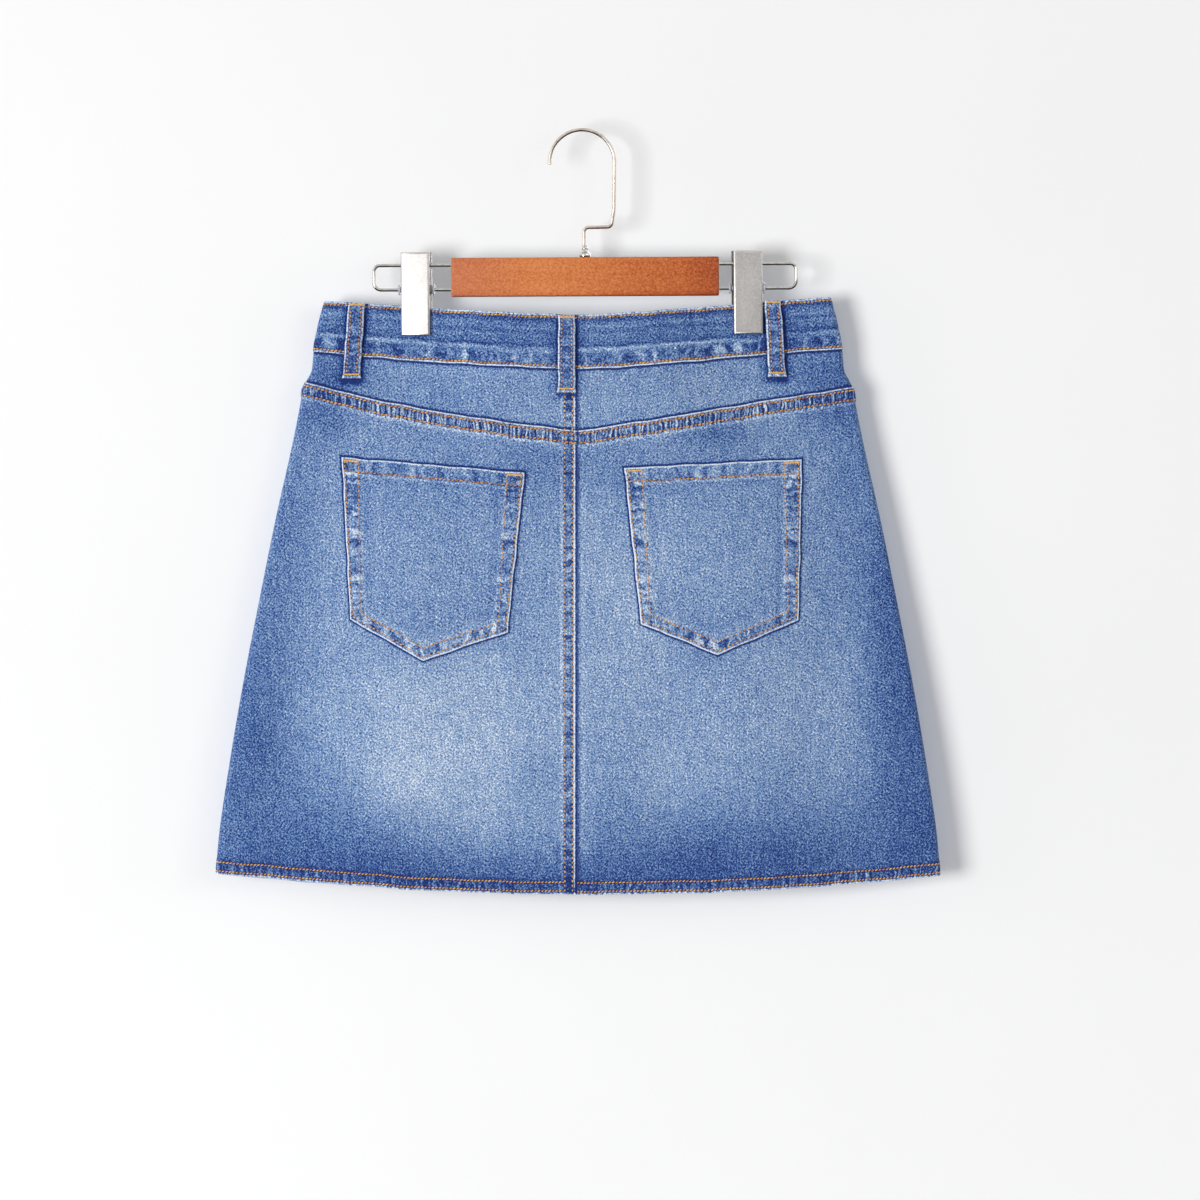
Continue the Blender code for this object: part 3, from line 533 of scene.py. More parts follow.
def tube_piece(node, turn_span, columns, rows, top, foot, touch_at, flat, area, rests_on, patch=0):
    """A piece of the tube between two seam lines."""
    start, end = turn_span
    way = math.copysign(1.0, end - start)

    def place_at(column, row):
        rough_turn = mix(start, end, column.share)
        middle_height = (top(rough_turn) + foot(rough_turn)) / 2
        turn = rough_turn + way * column.shift * turns_per_mm(middle_height)
        height = mix(top(turn), foot(turn), row.share) + row.shift
        turn = rough_turn + way * column.shift * turns_per_mm(height)
        from_end = abs(end - turn) / turns_per_mm(height)
        return Place(turn, height, touch_at(turn, height, from_end, top(turn) - height, height - foot(turn)))

    # Every piece but the back panels gets the belt loops' painted shadow.
    piece = cloth_piece(node, columns, rows, place_at, patch, loop_shadowed=top is not yoke_seam)
    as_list(rests_on)


# ---- materials ----
class Nodes:
    """Adds shader nodes one by one."""

    def __init__(self, tree):
        self.tree = tree

    def node(self, kind, sockets=None, **settings):
        made = self.tree.nodes.new(kind)
        for setting, value in settings.items():
            setattr(made, setting, value)
        self.join(made, sockets or {})
        return made

    def join(self, made, sockets):
        for socket, value in sockets.items():
            if isinstance(value, bpy.types.NodeSocket):
                self.tree.links.new(value, made.inputs[socket])
            else:
                made.inputs[socket].default_value = value

    def math(self, operation, first, second=0.0, third=0.0):
        made = self.node("ShaderNodeMath", {0: first, 1: second, 2: third}, operation=operation)
        return made.outputs[0]

    def times(self, value, amount):
        return self.math("MULTIPLY", value, amount)

    def add(self, value, amount, start):
        """start plus amount times value."""
        return self.math("MULTIPLY_ADD", value, amount, start)

    def vary(self, value, pattern, amount):
        """A value raised and lowered by a pattern of 0 to 1, so that its mean stays."""
        return self.add(pattern, amount, self.math("SUBTRACT", value, amount / 2))

    def mapped(self, vector, **settings):
        return self.node("ShaderNodeMapping", {"Vector": vector, **settings}).outputs[0]

    def noise(self, vector, stretch, detail=2.0, roughness=0.5):
        """Soft noise whose features are 1 / stretch metres along each axis."""
        mapped = self.mapped(vector, Scale=stretch)
        made = self.node(
            "ShaderNodeTexNoise", {"Vector": mapped, "Scale": 1.0, "Detail": detail, "Roughness": roughness}
        )
        return made.outputs["Fac"]

    def even_noise(self, vector, fineness, detail=2.0):
        return self.noise(vector, (fineness, fineness, fineness), detail)

    def ramp(self, value, *stops):
        """Colours along a value. Each stop is a place and a colour as it is seen, in 0 to 255."""
        made = self.node("ShaderNodeValToRGB", {"Fac": value})
        elements = made.color_ramp.elements
        while len(elements) < len(stops):
            elements.new(0.5)
        for element, (place, colour) in zip(elements, stops):
            element.position = place
            element.color = seen(*colour)
        return made.outputs["Color"]

    def span(self, value, low, high, new_low=0.0, new_high=1.0):
        made = self.node(
            "ShaderNodeMapRange",
            {"Value": value, "From Min": low, "From Max": high, "To Min": new_low, "To Max": new_high},
        )
        return made.outputs[0]

    def blend(self, share, first, second):
        made = self.node("ShaderNodeMix", {"Factor": share, 6: first, 7: second}, data_type="RGBA")
        return made.outputs[2]

    def attribute(self, name):
        return self.node("ShaderNodeAttribute", attribute_name=name).outputs["Fac"]

    def place(self):
        return self.node("ShaderNodeTexCoord").outputs["Object"]

    def relief(self, height, depth, strength, **normal):
        sockets = {"Height": height, "Distance": depth, "Strength": strength, **normal}
        return self.node("ShaderNodeBump", sockets).outputs[0]


class Finish(Nodes):
    """A material and its shader."""

    def __init__(self, name):
        self.material = bpy.data.materials.new(name)
        self.material.use_nodes = True
        super().__init__(self.material.node_tree)
        self.shader = self.tree.nodes["Principled BSDF"]

    def set(self, **sockets):
        self.join(self.shader, {socket.replace("_", " "): value for socket, value in sockets.items()})
        return self.material


def seen(red, green, blue):
    """A colour given as it is seen, made linear."""
    parts = [part / 255 for part in (red, green, blue)]
    return (*(part / 12.92 if part <= 0.04045 else ((part + 0.055) / 1.055) ** 2.4 for part in parts), 1.0)


def denim_finish():
    """Washed indigo twill: worn white on ridges; darker in grooves, beside raised edges and under laps,
    mostly painted shade and partly unfaded dye; barred where seams pucker.
    """
    finish = Finish("washed_denim")
    cloth = finish.node("ShaderNodeUVMap", uv_map="cloth").outputs[0]
    wash, wear, crease, bars, run, reverse = (finish.attribute(mark) for mark in MARKS)

    clouds = finish.noise(cloth, (16, 13, 1), 3.0)
    blotches = finish.noise(cloth, (150, 120, 1), 3.0, 0.6)
    streaks = finish.noise(cloth, (800, 34, 1))
    dashes = finish.noise(cloth, (110, 1000, 1), 1.0)
    askew = finish.mapped(cloth, Rotation=(0, 0, math.radians(33)))
    speckle = finish.noise(askew, (780, 690, 1), 1.5, 0.8)
    slanted = finish.mapped(cloth, Scale=(1, -0.62, 1))
    twill = finish.node(
        "ShaderNodeTexWave", {"Vector": slanted, "Scale": 430.0, "Distortion": 1.2, "Detail": 1.0},
        bands_direction="DIAGONAL",
    ).outputs["Fac"]

    value = finish.add(clouds, 0.3, 0.3)
    for pattern, amount in (
        (blotches, 0.38), (streaks, 0.34), (dashes, 0.16), (speckle, 2.25), (twill, 0.08),
    ):
        value = finish.vary(value, pattern, amount)
    value = finish.math("ADD", value, wash)

    wobble = finish.noise(cloth, (150, 150, 1), 1.0)
    bar_place = finish.add(wobble, 1.8, finish.times(run, 300.0))
    bar_noise = finish.node(
        "ShaderNodeTexNoise", {"W": bar_place, "Scale": 1.0, "Detail": 1.0, "Roughness": 0.6},
        noise_dimensions="1D",
    ).outputs["Fac"]
    blobs = finish.noise(cloth, (230, 230, 1), 1.0)
    bar = finish.span(finish.add(blobs, 0.4, bar_noise), 0.5, 0.92, -0.55, 0.45)
    barred = finish.times(bar, bars)
    value = finish.add(barred, 0.85, value)

    broken = finish.span(finish.noise(cloth, (380, 380, 1), 2.0, 0.7), 0.36, 0.6, 0.3, 1.0)
    value = finish.add(finish.times(wear, broken), 0.66, value)
    # Darkened by painted shade and unfaded dye.
    value = finish.add(crease, -0.5, value)

    outer = finish.ramp(
        value, (0.0, (22, 44, 110)), (0.2, (58, 94, 156)), (0.38, (96, 128, 178)), (0.52, (124, 152, 192)),
        (0.75, (164, 184, 211)), (1.0, (228, 238, 250)),
    )
    back_value = finish.add(streaks, 0.5, finish.times(speckle, 0.6))
    inner = finish.ramp(
        back_value, (0.2, (120, 138, 170)), (0.5, (176, 190, 211)), (0.85, (222, 228, 238))
    )
    colour = finish.blend(reverse, outer, inner)

    weave = finish.add(speckle, 0.8, finish.times(twill, 0.5))
    fine = finish.relief(weave, 0.00035, 0.55)
    puckered = finish.relief(barred, 0.0010, 0.6, Normal=fine)
    finish.set(Base_Color=colour, Roughness=0.9, Normal=puckered, Sheen_Weight=0.12, Sheen_Roughness=0.5)
    return finish.set(Specular_IOR_Level=0.25)


def thread_finish():
    """Tan topstitching thread, some of it washed paler."""
    finish = Finish("tan_thread")
    place = finish.place()
    shade = finish.vary(finish.attribute("tone"), finish.even_noise(place, 900), 0.5)
    colour = finish.ramp(
        shade, (0.0, (58, 34, 16)), (0.25, (134, 80, 24)), (0.5, (206, 142, 54)), (0.75, (236, 180, 90)),
        (1.0, (248, 214, 150)),
    )
    normal = finish.relief(finish.even_noise(place, 1400, 1.0), 0.0002, 0.4)
    return finish.set(Base_Color=colour, Roughness=0.6, Normal=normal, Sheen_Weight=0.2)


def wood_finish():
    """Stained and lacquered wood with a close grain along the bar."""
    finish = Finish("stained_wood")
    place = finish.place()
    grain = finish.noise(place, (14, 160, 200), 3.0, 0.6)
    pores = finish.noise(place, (520, 700, 620), 3.0, 0.8)
    axes = finish.node("ShaderNodeSeparateXYZ", {"Vector": place}).outputs
    foot = (HANGER_Z - BAR_SIZE[2] / 2) * MM
    value = finish.span(axes["X"], -0.1, -0.034, 0.45, 0.65)
    # Darker towards the right end, and painted shade along the bar's underside edge.
    for darkening in (
        finish.span(axes["X"], -0.034, 0.08, 0.0, -0.3),
        finish.span(axes["X"], 0.074, 0.1, 0.0, -0.16),
        finish.span(axes["Z"], foot + 0.001, foot + 0.0045, -0.13, 0.0),
    ):
        value = finish.math("ADD", value, darkening)
    value = finish.vary(finish.vary(value, grain, 0.3), pores, 1.3)
    colour = finish.ramp(
        value, (0.0, (118, 40, 6)), (0.3, (176, 82, 28)), (0.55, (206, 116, 58)), (0.8, (220, 138, 82)),
        (1.0, (232, 158, 104)),
    )
    # A painted pinkish highlight at the bar's left end, where the key light catches it.
    left_end_highlight = finish.span(axes["X"], -0.1, -0.045, 0.35, 0.0)
    colour = finish.blend(left_end_highlight, colour, seen(204, 130, 104))
    normal = finish.relief(finish.add(grain, 0.5, pores), 0.00012, 0.35)
    finish.set(Base_Color=colour, Roughness=0.5, Normal=normal, Coat_Weight=0.08, Coat_Roughness=0.35)
    return finish.set(Specular_IOR_Level=0.3)


def nickel_finish(name, dullest, dark, bright):
    """Nickel plate on wire, faintly drawn and spotted."""
    finish = Finish(name)
    place = finish.place()
    spots = finish.even_noise(place, 300, 3.0)
    colour = finish.ramp(spots, (0.3, dark), (0.7, bright))
    dull = finish.span(spots, 0.3, 0.7, 0.55 * dullest, dullest)
    normal = finish.relief(finish.even_noise(place, 700), 0.00003, 0.12)
    return finish.set(Base_Color=colour, Metallic=1.0, Roughness=dull, Normal=normal)


def satin_steel_finish():
    """Pressed steel with a finely sanded nickel face."""
    finish = Finish("satin_steel")
    place = finish.place()
    sanded = finish.noise(place, (900, 900, 700), 2.0, 0.7)
    clouds = finish.noise(place, (60, 60, 40))
    value = finish.add(sanded, 0.6, finish.times(clouds, 0.4))
    colour = finish.ramp(value, (0.3, (160, 156, 154)), (0.7, (203, 199, 196)))
    dull = finish.span(value, 0.3, 0.7, 0.37, 0.47)
    normal = finish.relief(sanded, 0.00006, 0.3)
    return finish.set(Base_Color=colour, Metallic=1.0, Roughness=dull, Normal=normal)


def clear_plastic_finish():
    """Clear moulded plastic, slightly clouded."""
    finish = Finish("clear_plastic")
    clouds = finish.even_noise(finish.place(), 200)
    dull = finish.span(clouds, 0.3, 0.7, 0.12, 0.24)
    colour = finish.ramp(clouds, (0.3, (222, 223, 238)), (0.7, (238, 239, 248)))
    return finish.set(Base_Color=colour, Roughness=dull, Transmission_Weight=0.5, IOR=1.47)


def stage_finish(name, colour, glow, see_through_back):
    finish = Finish(name)
    mottle = finish.even_noise(finish.place(), 3)
    low = tuple(part - 2 for part in colour)
    finish.set(Base_Color=finish.ramp(mottle, (0.3, low), (0.7, colour)), Roughness=0.95)
    finish.set(Specular_IOR_Level=0.1, Emission_Color=(1, 1, 1, 1), Emission_Strength=glow)
    if see_through_back:
        back = finish.node("ShaderNodeNewGeometry").outputs["Backfacing"]
        clear = finish.node("ShaderNodeBsdfTransparent").outputs[0]
        both = finish.node("ShaderNodeMixShader", {0: back, 1: finish.shader.outputs[0], 2: clear})
        finish.join(finish.tree.nodes["Material Output"], {"Surface": both.outputs[0]})
    return finish.material


DENIM = denim_finish()
THREAD = thread_finish()
WOOD = wood_finish()
# The plate on the wires, ferrule and button is a darker copy of the nickel: painted shade standing in for
# dark reflections.
DARKENED_NICKEL = nickel_finish("darkened_nickel_plate", 0.1, (172, 168, 163), (202, 198, 193))
RUBBED_NICKEL = nickel_finish("rubbed_nickel", 0.38, (184, 171, 160), (212, 201, 190))
SATIN_STEEL = satin_steel_finish()
CLEAR_PLASTIC = clear_plastic_finish()


# ---- waistband ----
FOLD_COLUMNS = [Station(0, 0.15)] + stations(0.004, 0.009, 0.014, 0.019, 0.024, 0.03, 0.036, 0.044)
BAND_ROWS = (
    edge_stations(0, -1, (0.0, 0.2, 0.45, 0.8, 1.2, 1.7, 2.1, 2.5, 2.9, 3.4, 4.2))
    + even_stations(0.11, 0.89, 12)
    + edge_stations(1, 1, (0.15, 0.3, 0.5, 0.7, 0.95, 1.25, 1.65, 2.0, 2.3, 2.7, 3.3, 4.2))
)


def row_shade(place, *rows):
    """Painted shade in the grooves that rows of stitches draw."""
    return hills(place, *((0.75, row, 1.1) for row in rows))


def lap_lift(from_end):
    """How far the left end of the waistband rises over the right one."""
    return LAP_HEIGHT * until(from_end, FRONT_LAP + LAP_CLEARANCE, LAP_RAMP)


def band_touch(turn, height, from_end, below_top, above_foot, lift=0.0):
    """The waistband: a rounded fold on top, one row of stitches near each edge, a soft bulge between."""
    share = below_top / (below_top + above_foot)
    left = rounded(below_top, 1.2) * rounded(above_foot, 0.8)
    if lift or from_end < 1.0:
        left *= rounded(from_end, 0.9)
    middle = (BAND_OUT - BAND_IN) / 2
    out = middle + (BAND_OUT - middle) * left + lift
    out += 0.4 * math.sin(math.pi * share) - hills(share, (0.3, 0.6, 0.08))
    out -= hills(below_top, (0.35, TOP_ROW, 1.0)) + hills(above_foot, (0.35, WAIST_ROW, 1.0))
    run = along_cloth(turn, height)
    wave = share + 0.05 * wander(run * 0.7) + 0.02 * math.sin(run / 31)
    wear = hills(below_top, (1.2, 0.7, 1.6)) + hills(above_foot, (1.6, 0.65, 0.85))
    wear += hills(wave, (0.32, 0.25, 0.06), (0.24, 0.4, 0.045), (0.7, 0.66, 0.045))
    # Painted shade in the stitch grooves, below the top row and along the band's middle crease.
    crease = row_shade(below_top, TOP_ROW) + row_shade(above_foot, WAIST_ROW)
    crease += hills(below_top, (0.45, TOP_ROW + 2.2, 2.4))
    crease += hills(wave, (0.42, 0.59, 0.05), (0.2, 0.33, 0.05))
    bars = ease((wave - 0.66) / 0.06) * hill(above_foot, 7.0, 7.5)
    # Darker above the band's middle line than below it: painted shade on the upper side of the band's bulge.
    wash = mix(-0.17, -0.08, ease((wave - 0.58) / 0.08))
    return Touch(out, middle - (BAND_IN + middle) * left + lift, wear, crease, bars, run * 0.4, wash)


def lapped_touch(turn, height, from_end, below_top, above_foot):
    return band_touch(turn, height, from_end, below_top, above_foot, lap_lift(from_end))


def lap_end():
    """The turn at which the left end of the waistband stops."""
    return 2 - FRONT_LAP * turns_per_mm(waist_seam(2))


def add_waistband():
    left_fold = [Station(place.share / 2, place.shift) for place in FOLD_COLUMNS]
    right_fold = [Station(1 - place.share, -place.shift) for place in reversed(left_fold)]
    back = beside_loops(left_fold + even_stations(0.022, 0.978, 130) + right_fold, (-1, 1), -150)
    right = FOLD_COLUMNS + even_stations(0.044, 1, 62) + [Station(1, -0.3)]
    left = FOLD_COLUMNS + even_stations(0.044, 0.985, 78) + edge_stations(1, -1, (0, 0.1, 0.3, 0.7, 1.2, 2))
    for node, span, columns, touch_at, flat, area, rests_on, patch in (
        ("back", (-1, 1), back, band_touch, (0.394, 0.054), 0.0156, ["yoke_left", "yoke_right"], 1),
        ("front_right", (1, 2), right, band_touch, (0.198, 0.062), 0.0078, "front_panel_right", 2),
        ("front_left", (3, lap_end()), left, lapped_touch, (0.229, 0.062), 0.0091, "front_panel_left", 3),
    ):
        edges = (BAND_ROWS, top_edge, waist_seam)
        tube_piece(f"waistband_{node}", span, columns, *edges, touch_at, flat, area, rests_on, patch)


# ---- yoke and panels ----
def middle_fell(from_end):
    """How far the centre-back seam's folded layers raise the cloth."""
    return until(from_end, MIDDLE_ROWS[1] + 0.2, 2.2)


def middle_fell_look(from_end):
    """Wear, painted shade and bars on the centre-back seam."""
    wear = hills(from_end, (1.8, 2.7, 0.95), (0.35, FELL_WIDTH + 0.8, 1.8))
    crease = 0.65 * row_shade(from_end, *MIDDLE_ROWS) + hills(from_end, (1.1, 1.1, 1.2))
    bars = 0.6 * ease((from_end - 3.4) / 1.2) * until(from_end, MIDDLE_ROWS[1], 1.5)
    return wear, crease, bars


def yoke_touch(turn, height, from_end, below_top, above_foot, felled=False):
    """A yoke half: painted shade where it goes under the waistband and just above the panel's fell, and
    perhaps folded in the middle fell.
    """
    run = along_cloth(turn, height)
    crease = hills(below_top, (1.6, 0.3, 2.0)) + hills(above_foot, (1.6, 0.2, 2.0))
    if not felled:
        # Painted shadow beside the left yoke's raised middle fell.
        crease = max(crease, hills(from_end, (0.6, 0.1, 1.6)))
        return Touch(0.0, -CLOTH, hills(from_end, (0.25, 4.0, 2.4)), crease, 0.0, run, 0.03)
    raised = middle_fell(from_end)
    out = -CLOTH / 2 + (FELL_RAISE * raised + CLOTH / 2) * rounded(from_end, 0.9)
    out -= hills(from_end, *((0.3, row, 0.9) for row in MIDDLE_ROWS))
    wear, dark, bars = middle_fell_look(from_end)
    run = height * 0.6 if raised > 0.1 else run
    return Touch(out, -CLOTH, wear, max(crease, dark), bars, run, 0.03 - 0.1 * raised)


def hem_form(above_foot, raised, outer_left=1.0, inner_left=1.0):
    """Outer and inner face of a panel with a turned hem, given what its other edges leave of each half."""
    hemmed = until(above_foot, HEM_DEPTH - 0.3, 1.5)
    left = rounded(above_foot, 1.5)
    out = -CLOTH / 2 + (FELL_RAISE * raised + HEM_RAISE * hemmed + CLOTH / 2) * outer_left * left
    out -= hills(above_foot, *((0.35, row, 1.0) for row in HEM_ROWS))
    return out, mix(-CLOTH / 2 * (1 + inner_left), -HEM_LAYER - (HEM_IN - HEM_LAYER) * left, hemmed)


def hem_look(above_foot):
    """Band of the turned hem, its wear, and painted shade above its upper row."""
    band = until(above_foot, HEM_ROWS[1], 1.5)
    return band, hills(above_foot, (1.4, 0.4, 1.2)), hills(above_foot, (0.25, HEM_ROWS[1] + 1.4, 2.4))


def panel_touch(turn, height, from_end, below_top, above_foot, felled=False):
    """A back panel: the yoke's fell along its top, perhaps the middle fell, and the turned hem."""
    top_raised = until(below_top, FELL_ROWS[1] + 0.2, 2.4)
    middle_raised = middle_fell(from_end) if felled else 0.0
    edges = rounded(below_top, 0.9) * (rounded(from_end, 0.9) if felled else 1.0)
    out, inside = hem_form(above_foot, max(top_raised, middle_raised), edges, edges)
    out -= hills(below_top, *((0.3, row, 0.9) for row in FELL_ROWS))

    wear = hills(below_top, (1.6, 0.65, 0.9), (0.55, FELL_ROWS[1] + 2.2, 2.6))
    # Painted shade in the stitch grooves, and where the two fells meet in the middle.
    crease = row_shade(below_top, *FELL_ROWS) + 0.8 * hill(from_end, 0.2, 1.4) * top_raised
    bars = top_raised * mix(0.25, 1.25, ease((below_top - 2.2) / 1.0)) * ease(below_top - 0.5)
    run = along_cloth(turn, height) * 1.7
    if felled:
        out -= hills(from_end, *((0.3, row, 0.9) for row in MIDDLE_ROWS)) * (1 - top_raised)
        side_wear, side_dye_and_shade, side_bars = middle_fell_look(from_end)
        wear, crease = max(wear, side_wear), max(crease, side_dye_and_shade * (1 - top_raised))
        if middle_raised > 0.1 and below_top > FELL_WIDTH:
            bars, run = side_bars, height * 0.6
    else:
        # Painted shadow beside the left panel's raised middle fell.
        crease = max(crease, hills(from_end, (0.6, 0.1, 1.6)))
        wear = max(wear, hills(from_end, (0.25, 4.0, 2.4)))
    band, hem_wear, hem_dye_and_shade = hem_look(above_foot)
    if above_foot < HEM_ROWS[1] + 3:
        bars = max(bars * (1 - band), 0.6 * band)
        run = along_cloth(turn, height) * 1.1 if band > 0.1 else run
    # Painted shade above the hem's upper row and in its stitch grooves.
    crease += hem_dye_and_shade + 0.8 * row_shade(above_foot, *HEM_ROWS)
    return Touch(out, inside, wear + hem_wear, crease, bars, run, -0.03 * band - 0.09 * middle_raised)


def front_touch(turn, height, from_end, below_top, above_foot, fly=False):
    """A plain front panel with the turned hem, and the fly's facing on the left one."""
    facing = until(from_end, FLY_WIDTH, 2.0) * until(below_top, FLY_LENGTH - 4, 5) if fly else 0.0
    out, inside = hem_form(above_foot, facing, rounded(from_end, 0.9) if fly else 1.0)
    band, wear, crease = hem_look(above_foot)
    # Painted shade under the waistband and in the hem's stitch grooves.
    crease += hills(below_top, (1.5, 0.3, 2.0)) + row_shade(above_foot, *HEM_ROWS)
    if fly:
        wear += hills(from_end, (1.2, 0.8, 1.5))
    else:
        # Painted shade where the right panel goes under the left one's lap.
        crease += hills(from_end, (0.8, 0.1, 1.6))
    run = along_cloth(turn, height) * 1.1 if band > 0.1 else height
    return Touch(out, inside, wear, crease, max(0.6 * band, 0.35 * facing), run, -0.09 * band)


PLAIN_EDGE = (0.15, 0.6, 1.2, 2.0, 3.2)
YOKE_EDGE = (0.15, 0.5, 0.9, 1.3, 1.8, 2.4)
MIDDLE_EDGE = (
    0.15, 0.3, 0.5, 0.8, 1.2, 1.7, 2.1, 2.5, 2.9, 3.3, 3.7, 4.1, 4.8, 6.2, 7.8, 9.0, 9.7, 10.4, 11.2, 12.2,
    14.0,
)
FLY_EDGE = (0.15, 0.3, 0.5, 0.8, 1.2, 1.8, 3, 6, 10, 14, 18, 22, 26, 30, 33, 35, 36, 37, 38.5, 41)
TOP_FELL = (
    0.15, 0.3, 0.5, 0.75, 1.0, 1.3, 1.8, 2.2, 2.6, 3.0, 3.8, 5.0, 6.5, 8.0, 9.1, 9.6, 10.1, 10.9, 12.0, 13.6
)
HEM_EDGE_ROWS = (
    0.0, 0.2, 0.5, 0.9, 1.4, 2.0, 2.4, 2.8, 3.4, 4.6, 6.0, 7.4, 8.5, 9.0, 9.5, 10.3, 11.0, 12.2, 14.0
)


def side_columns(end, count, edge):
    """Columns from a side fold to a piece's other end."""
    return FOLD_COLUMNS + even_stations(0.044, end, count) + edge_stations(1, -1, edge)


def add_yoke():
    rows = edge_stations(0, -1, YOKE_EDGE + (3.2,)) + even_stations(0.17, 0.86, 10)
    rows += edge_stations(1, 1, YOKE_EDGE + (3.0,))
    for side, way, columns, touch_at, patch in (
        ("left", -1, side_columns(0.93, 62, MIDDLE_EDGE), partial(yoke_touch, felled=True), 4),
        ("right", 1, side_columns(0.98, 66, PLAIN_EDGE), yoke_touch, 5),
    ):
        tube_piece(
            f"yoke_{side}", (way, 0), beside_loops(columns, (way, 0), -180), rows, waist_seam, yoke_seam,
            touch_at, flat=(0.214, 0.063), area=0.0075, rests_on=f"back_panel_{side}", patch=patch,
        )


def add_panels():
    foot = edge_stations(1, 1, HEM_EDGE_ROWS)
    back_rows = edge_stations(0, -1, TOP_FELL) + even_stations(0.042, 0.955, 104) + foot
    front_rows = edge_stations(0, -1, PLAIN_EDGE) + even_stations(0.01, 0.965, 112) + foot
    fell, fly = side_columns(0.935, 74, MIDDLE_EDGE), side_columns(0.81, 60, FLY_EDGE)
    plain = side_columns(0.98, 78, PLAIN_EDGE)
    for side, span, columns, touch_at, patch in (
        ("left", (-1, 0), fell, partial(panel_touch, felled=True), 0),
        ("right", (1, 0), plain, panel_touch, 6),
    ):
        tube_piece(
            f"back_panel_{side}", span, columns, back_rows, yoke_seam, hem_edge, touch_at,
            flat=(0.279, 0.387), area=0.0915, rests_on=f"yoke_{side}", patch=patch,
        )
    for side, span, columns, touch_at, patch in (
        ("left", (3, 2), fly, partial(front_touch, fly=True), 7),
        ("right", (1, 2), plain, front_touch, 8),
    ):
        tube_piece(
            f"front_panel_{side}", span, columns, front_rows, waist_seam, hem_edge, touch_at,
            flat=(0.279, 0.425), area=0.098, rests_on=f"waistband_front_{side}", patch=patch,
        )


# ---- pockets ----
def pocket_frame(pocket):
    """The pocket's upper corners and its width, its point's share across, and its foot at each share."""
    top_left, top_right, foot_right, tip, foot_left = (Vector(corner) for corner in pocket[1:6])
    tip_share = (tip.x - foot_left.x) / (foot_right.x - foot_left.x)

    def foot(share):
        if share <= tip_share:
            return foot_left.lerp(tip, share / tip_share)
        return tip.lerp(foot_right, (share - tip_share) / (1 - tip_share))

    return top_left, top_right, (top_right - top_left).length, tip_share, foot


def strayed(spot):
    """Where a place of the pocket really lies, since its edges aren't quite straight."""
    return spot.x + wander(spot.y * 1.1 + 40), spot.y + wander(spot.x + 90)


def pocket_touch(spot, from_left, from_right, from_mouth, from_foot):
    """A patch with turned-under edges, a thin dark flange round it that is a painted shadow line, and barred
    bands.
    """
    side = min(from_left, from_right)
    edge = min(side, from_mouth, from_foot)
    if edge < 0:
        # Outside the edge: a thin flange carrying the painted shadow line.
        return Touch(POCKET_SEAT + 0.12, POCKET_SEAT, crease=1.5 * until(-edge, 0.5, 1.5))
    turned = max(
        until(side, POCKET_SIDE_TURN - 1.2, 2.0),
        until(from_foot, POCKET_FOOT_TURN - 1.2, 2.0),
        until(from_mouth, POCKET_MOUTH_TURN - 0.6, 1.4),
    )
    rows = ((side, POCKET_ROWS[0]), (from_foot, POCKET_FOOT_ROWS[0]), (from_mouth, POCKET_MOUTH_ROW))
    groove = max(hill(place, row, 0.9) for place, row in rows)
    out = POCKET_SEAT + (POCKET_CLOTH + POCKET_TURN_RAISE * turned) * rounded(edge, 0.9) - 0.25 * groove
    wear = hills(edge, (1.6, 0.65, 0.95)) + hills(from_mouth, (0.35, POCKET_MOUTH_TURN + 1.0, 2.0))
    wear += hills(side, (0.2, POCKET_SIDE_TURN, 2.0)) + hills(from_foot, (0.3, POCKET_FOOT_TURN + 1.0, 2.2))
    # Painted shade in the stitch grooves; darker below the mouth and inside the side turns.
    crease = 0.5 * groove + (hills(from_mouth, (0.3, POCKET_MOUTH_TURN + 4.0, 3.4)) if side > 1 else 0.0)
    crease += hills(side, (0.16, POCKET_SIDE_TURN + 4.5, 5.0)) * ease((from_mouth - POCKET_MOUTH_TURN) / 5)
    lengthways = side < min(from_mouth, from_foot)
    bars = (0.85 if lengthways or from_foot < from_mouth else 0.5) * turned * ease((edge - 1.0) / 1.6)
    return Touch(out, POCKET_SEAT, wear, crease, bars, (spot.y if lengthways else spot.x) * 0.5)


# The negative stations make the thin flange outside the pocket's edge that carries its painted shadow line.
POCKET_EDGE = (-2.0, -1.5, -1.0, -0.5, -0.05, 0.1, 0.25, 0.45, 0.65, 0.9, 1.25, 1.65)
POCKET_SIDE = POCKET_EDGE + (2.0, 2.5, 3.0, 4.0, 6.0, 8.5, 10.5, 11.6, 12.6, 13.6, 15.0)
POCKET_MOUTH = POCKET_EDGE + (2.2, 4.0, 6.5, 9.0, 9.8, 10.4, 11.0, 11.8, 12.6, 14.0)
POCKET_SOLE = POCKET_EDGE + (2.2, 3.0, 3.8, 5.0, 7.0, 8.6, 9.6, 10.6, 12.0)


def add_pocket(pocket, patch):
    top_left, top_right, width, tip_share, foot = pocket_frame(pocket)

    def place_at(column, row):
        share = column.share + column.shift / width
        head, heel = top_left.lerp(top_right, share), foot(share)
        length = (head - heel).length
        drop = row.share - row.shift / length
        spot = head.lerp(heel, drop)
        touch = pocket_touch(spot, share * width, (1 - share) * width, drop * length, (1 - drop) * length)
        x, height = strayed(spot)
        return Place(turn_of(x, height), height, touch)

    columns = edge_stations(0, 1, POCKET_SIDE) + even_stations(0.11, tip_share, 16) + stations(tip_share)
    columns += even_stations(tip_share, 0.89, 16) + edge_stations(1, -1, POCKET_SIDE)
    rows = edge_stations(0, -1, POCKET_MOUTH) + even_stations(0.12, 0.9, 36)
    rows += edge_stations(1, 1, POCKET_SOLE)
    piece = cloth_piece(pocket.name, columns, rows, place_at, patch)


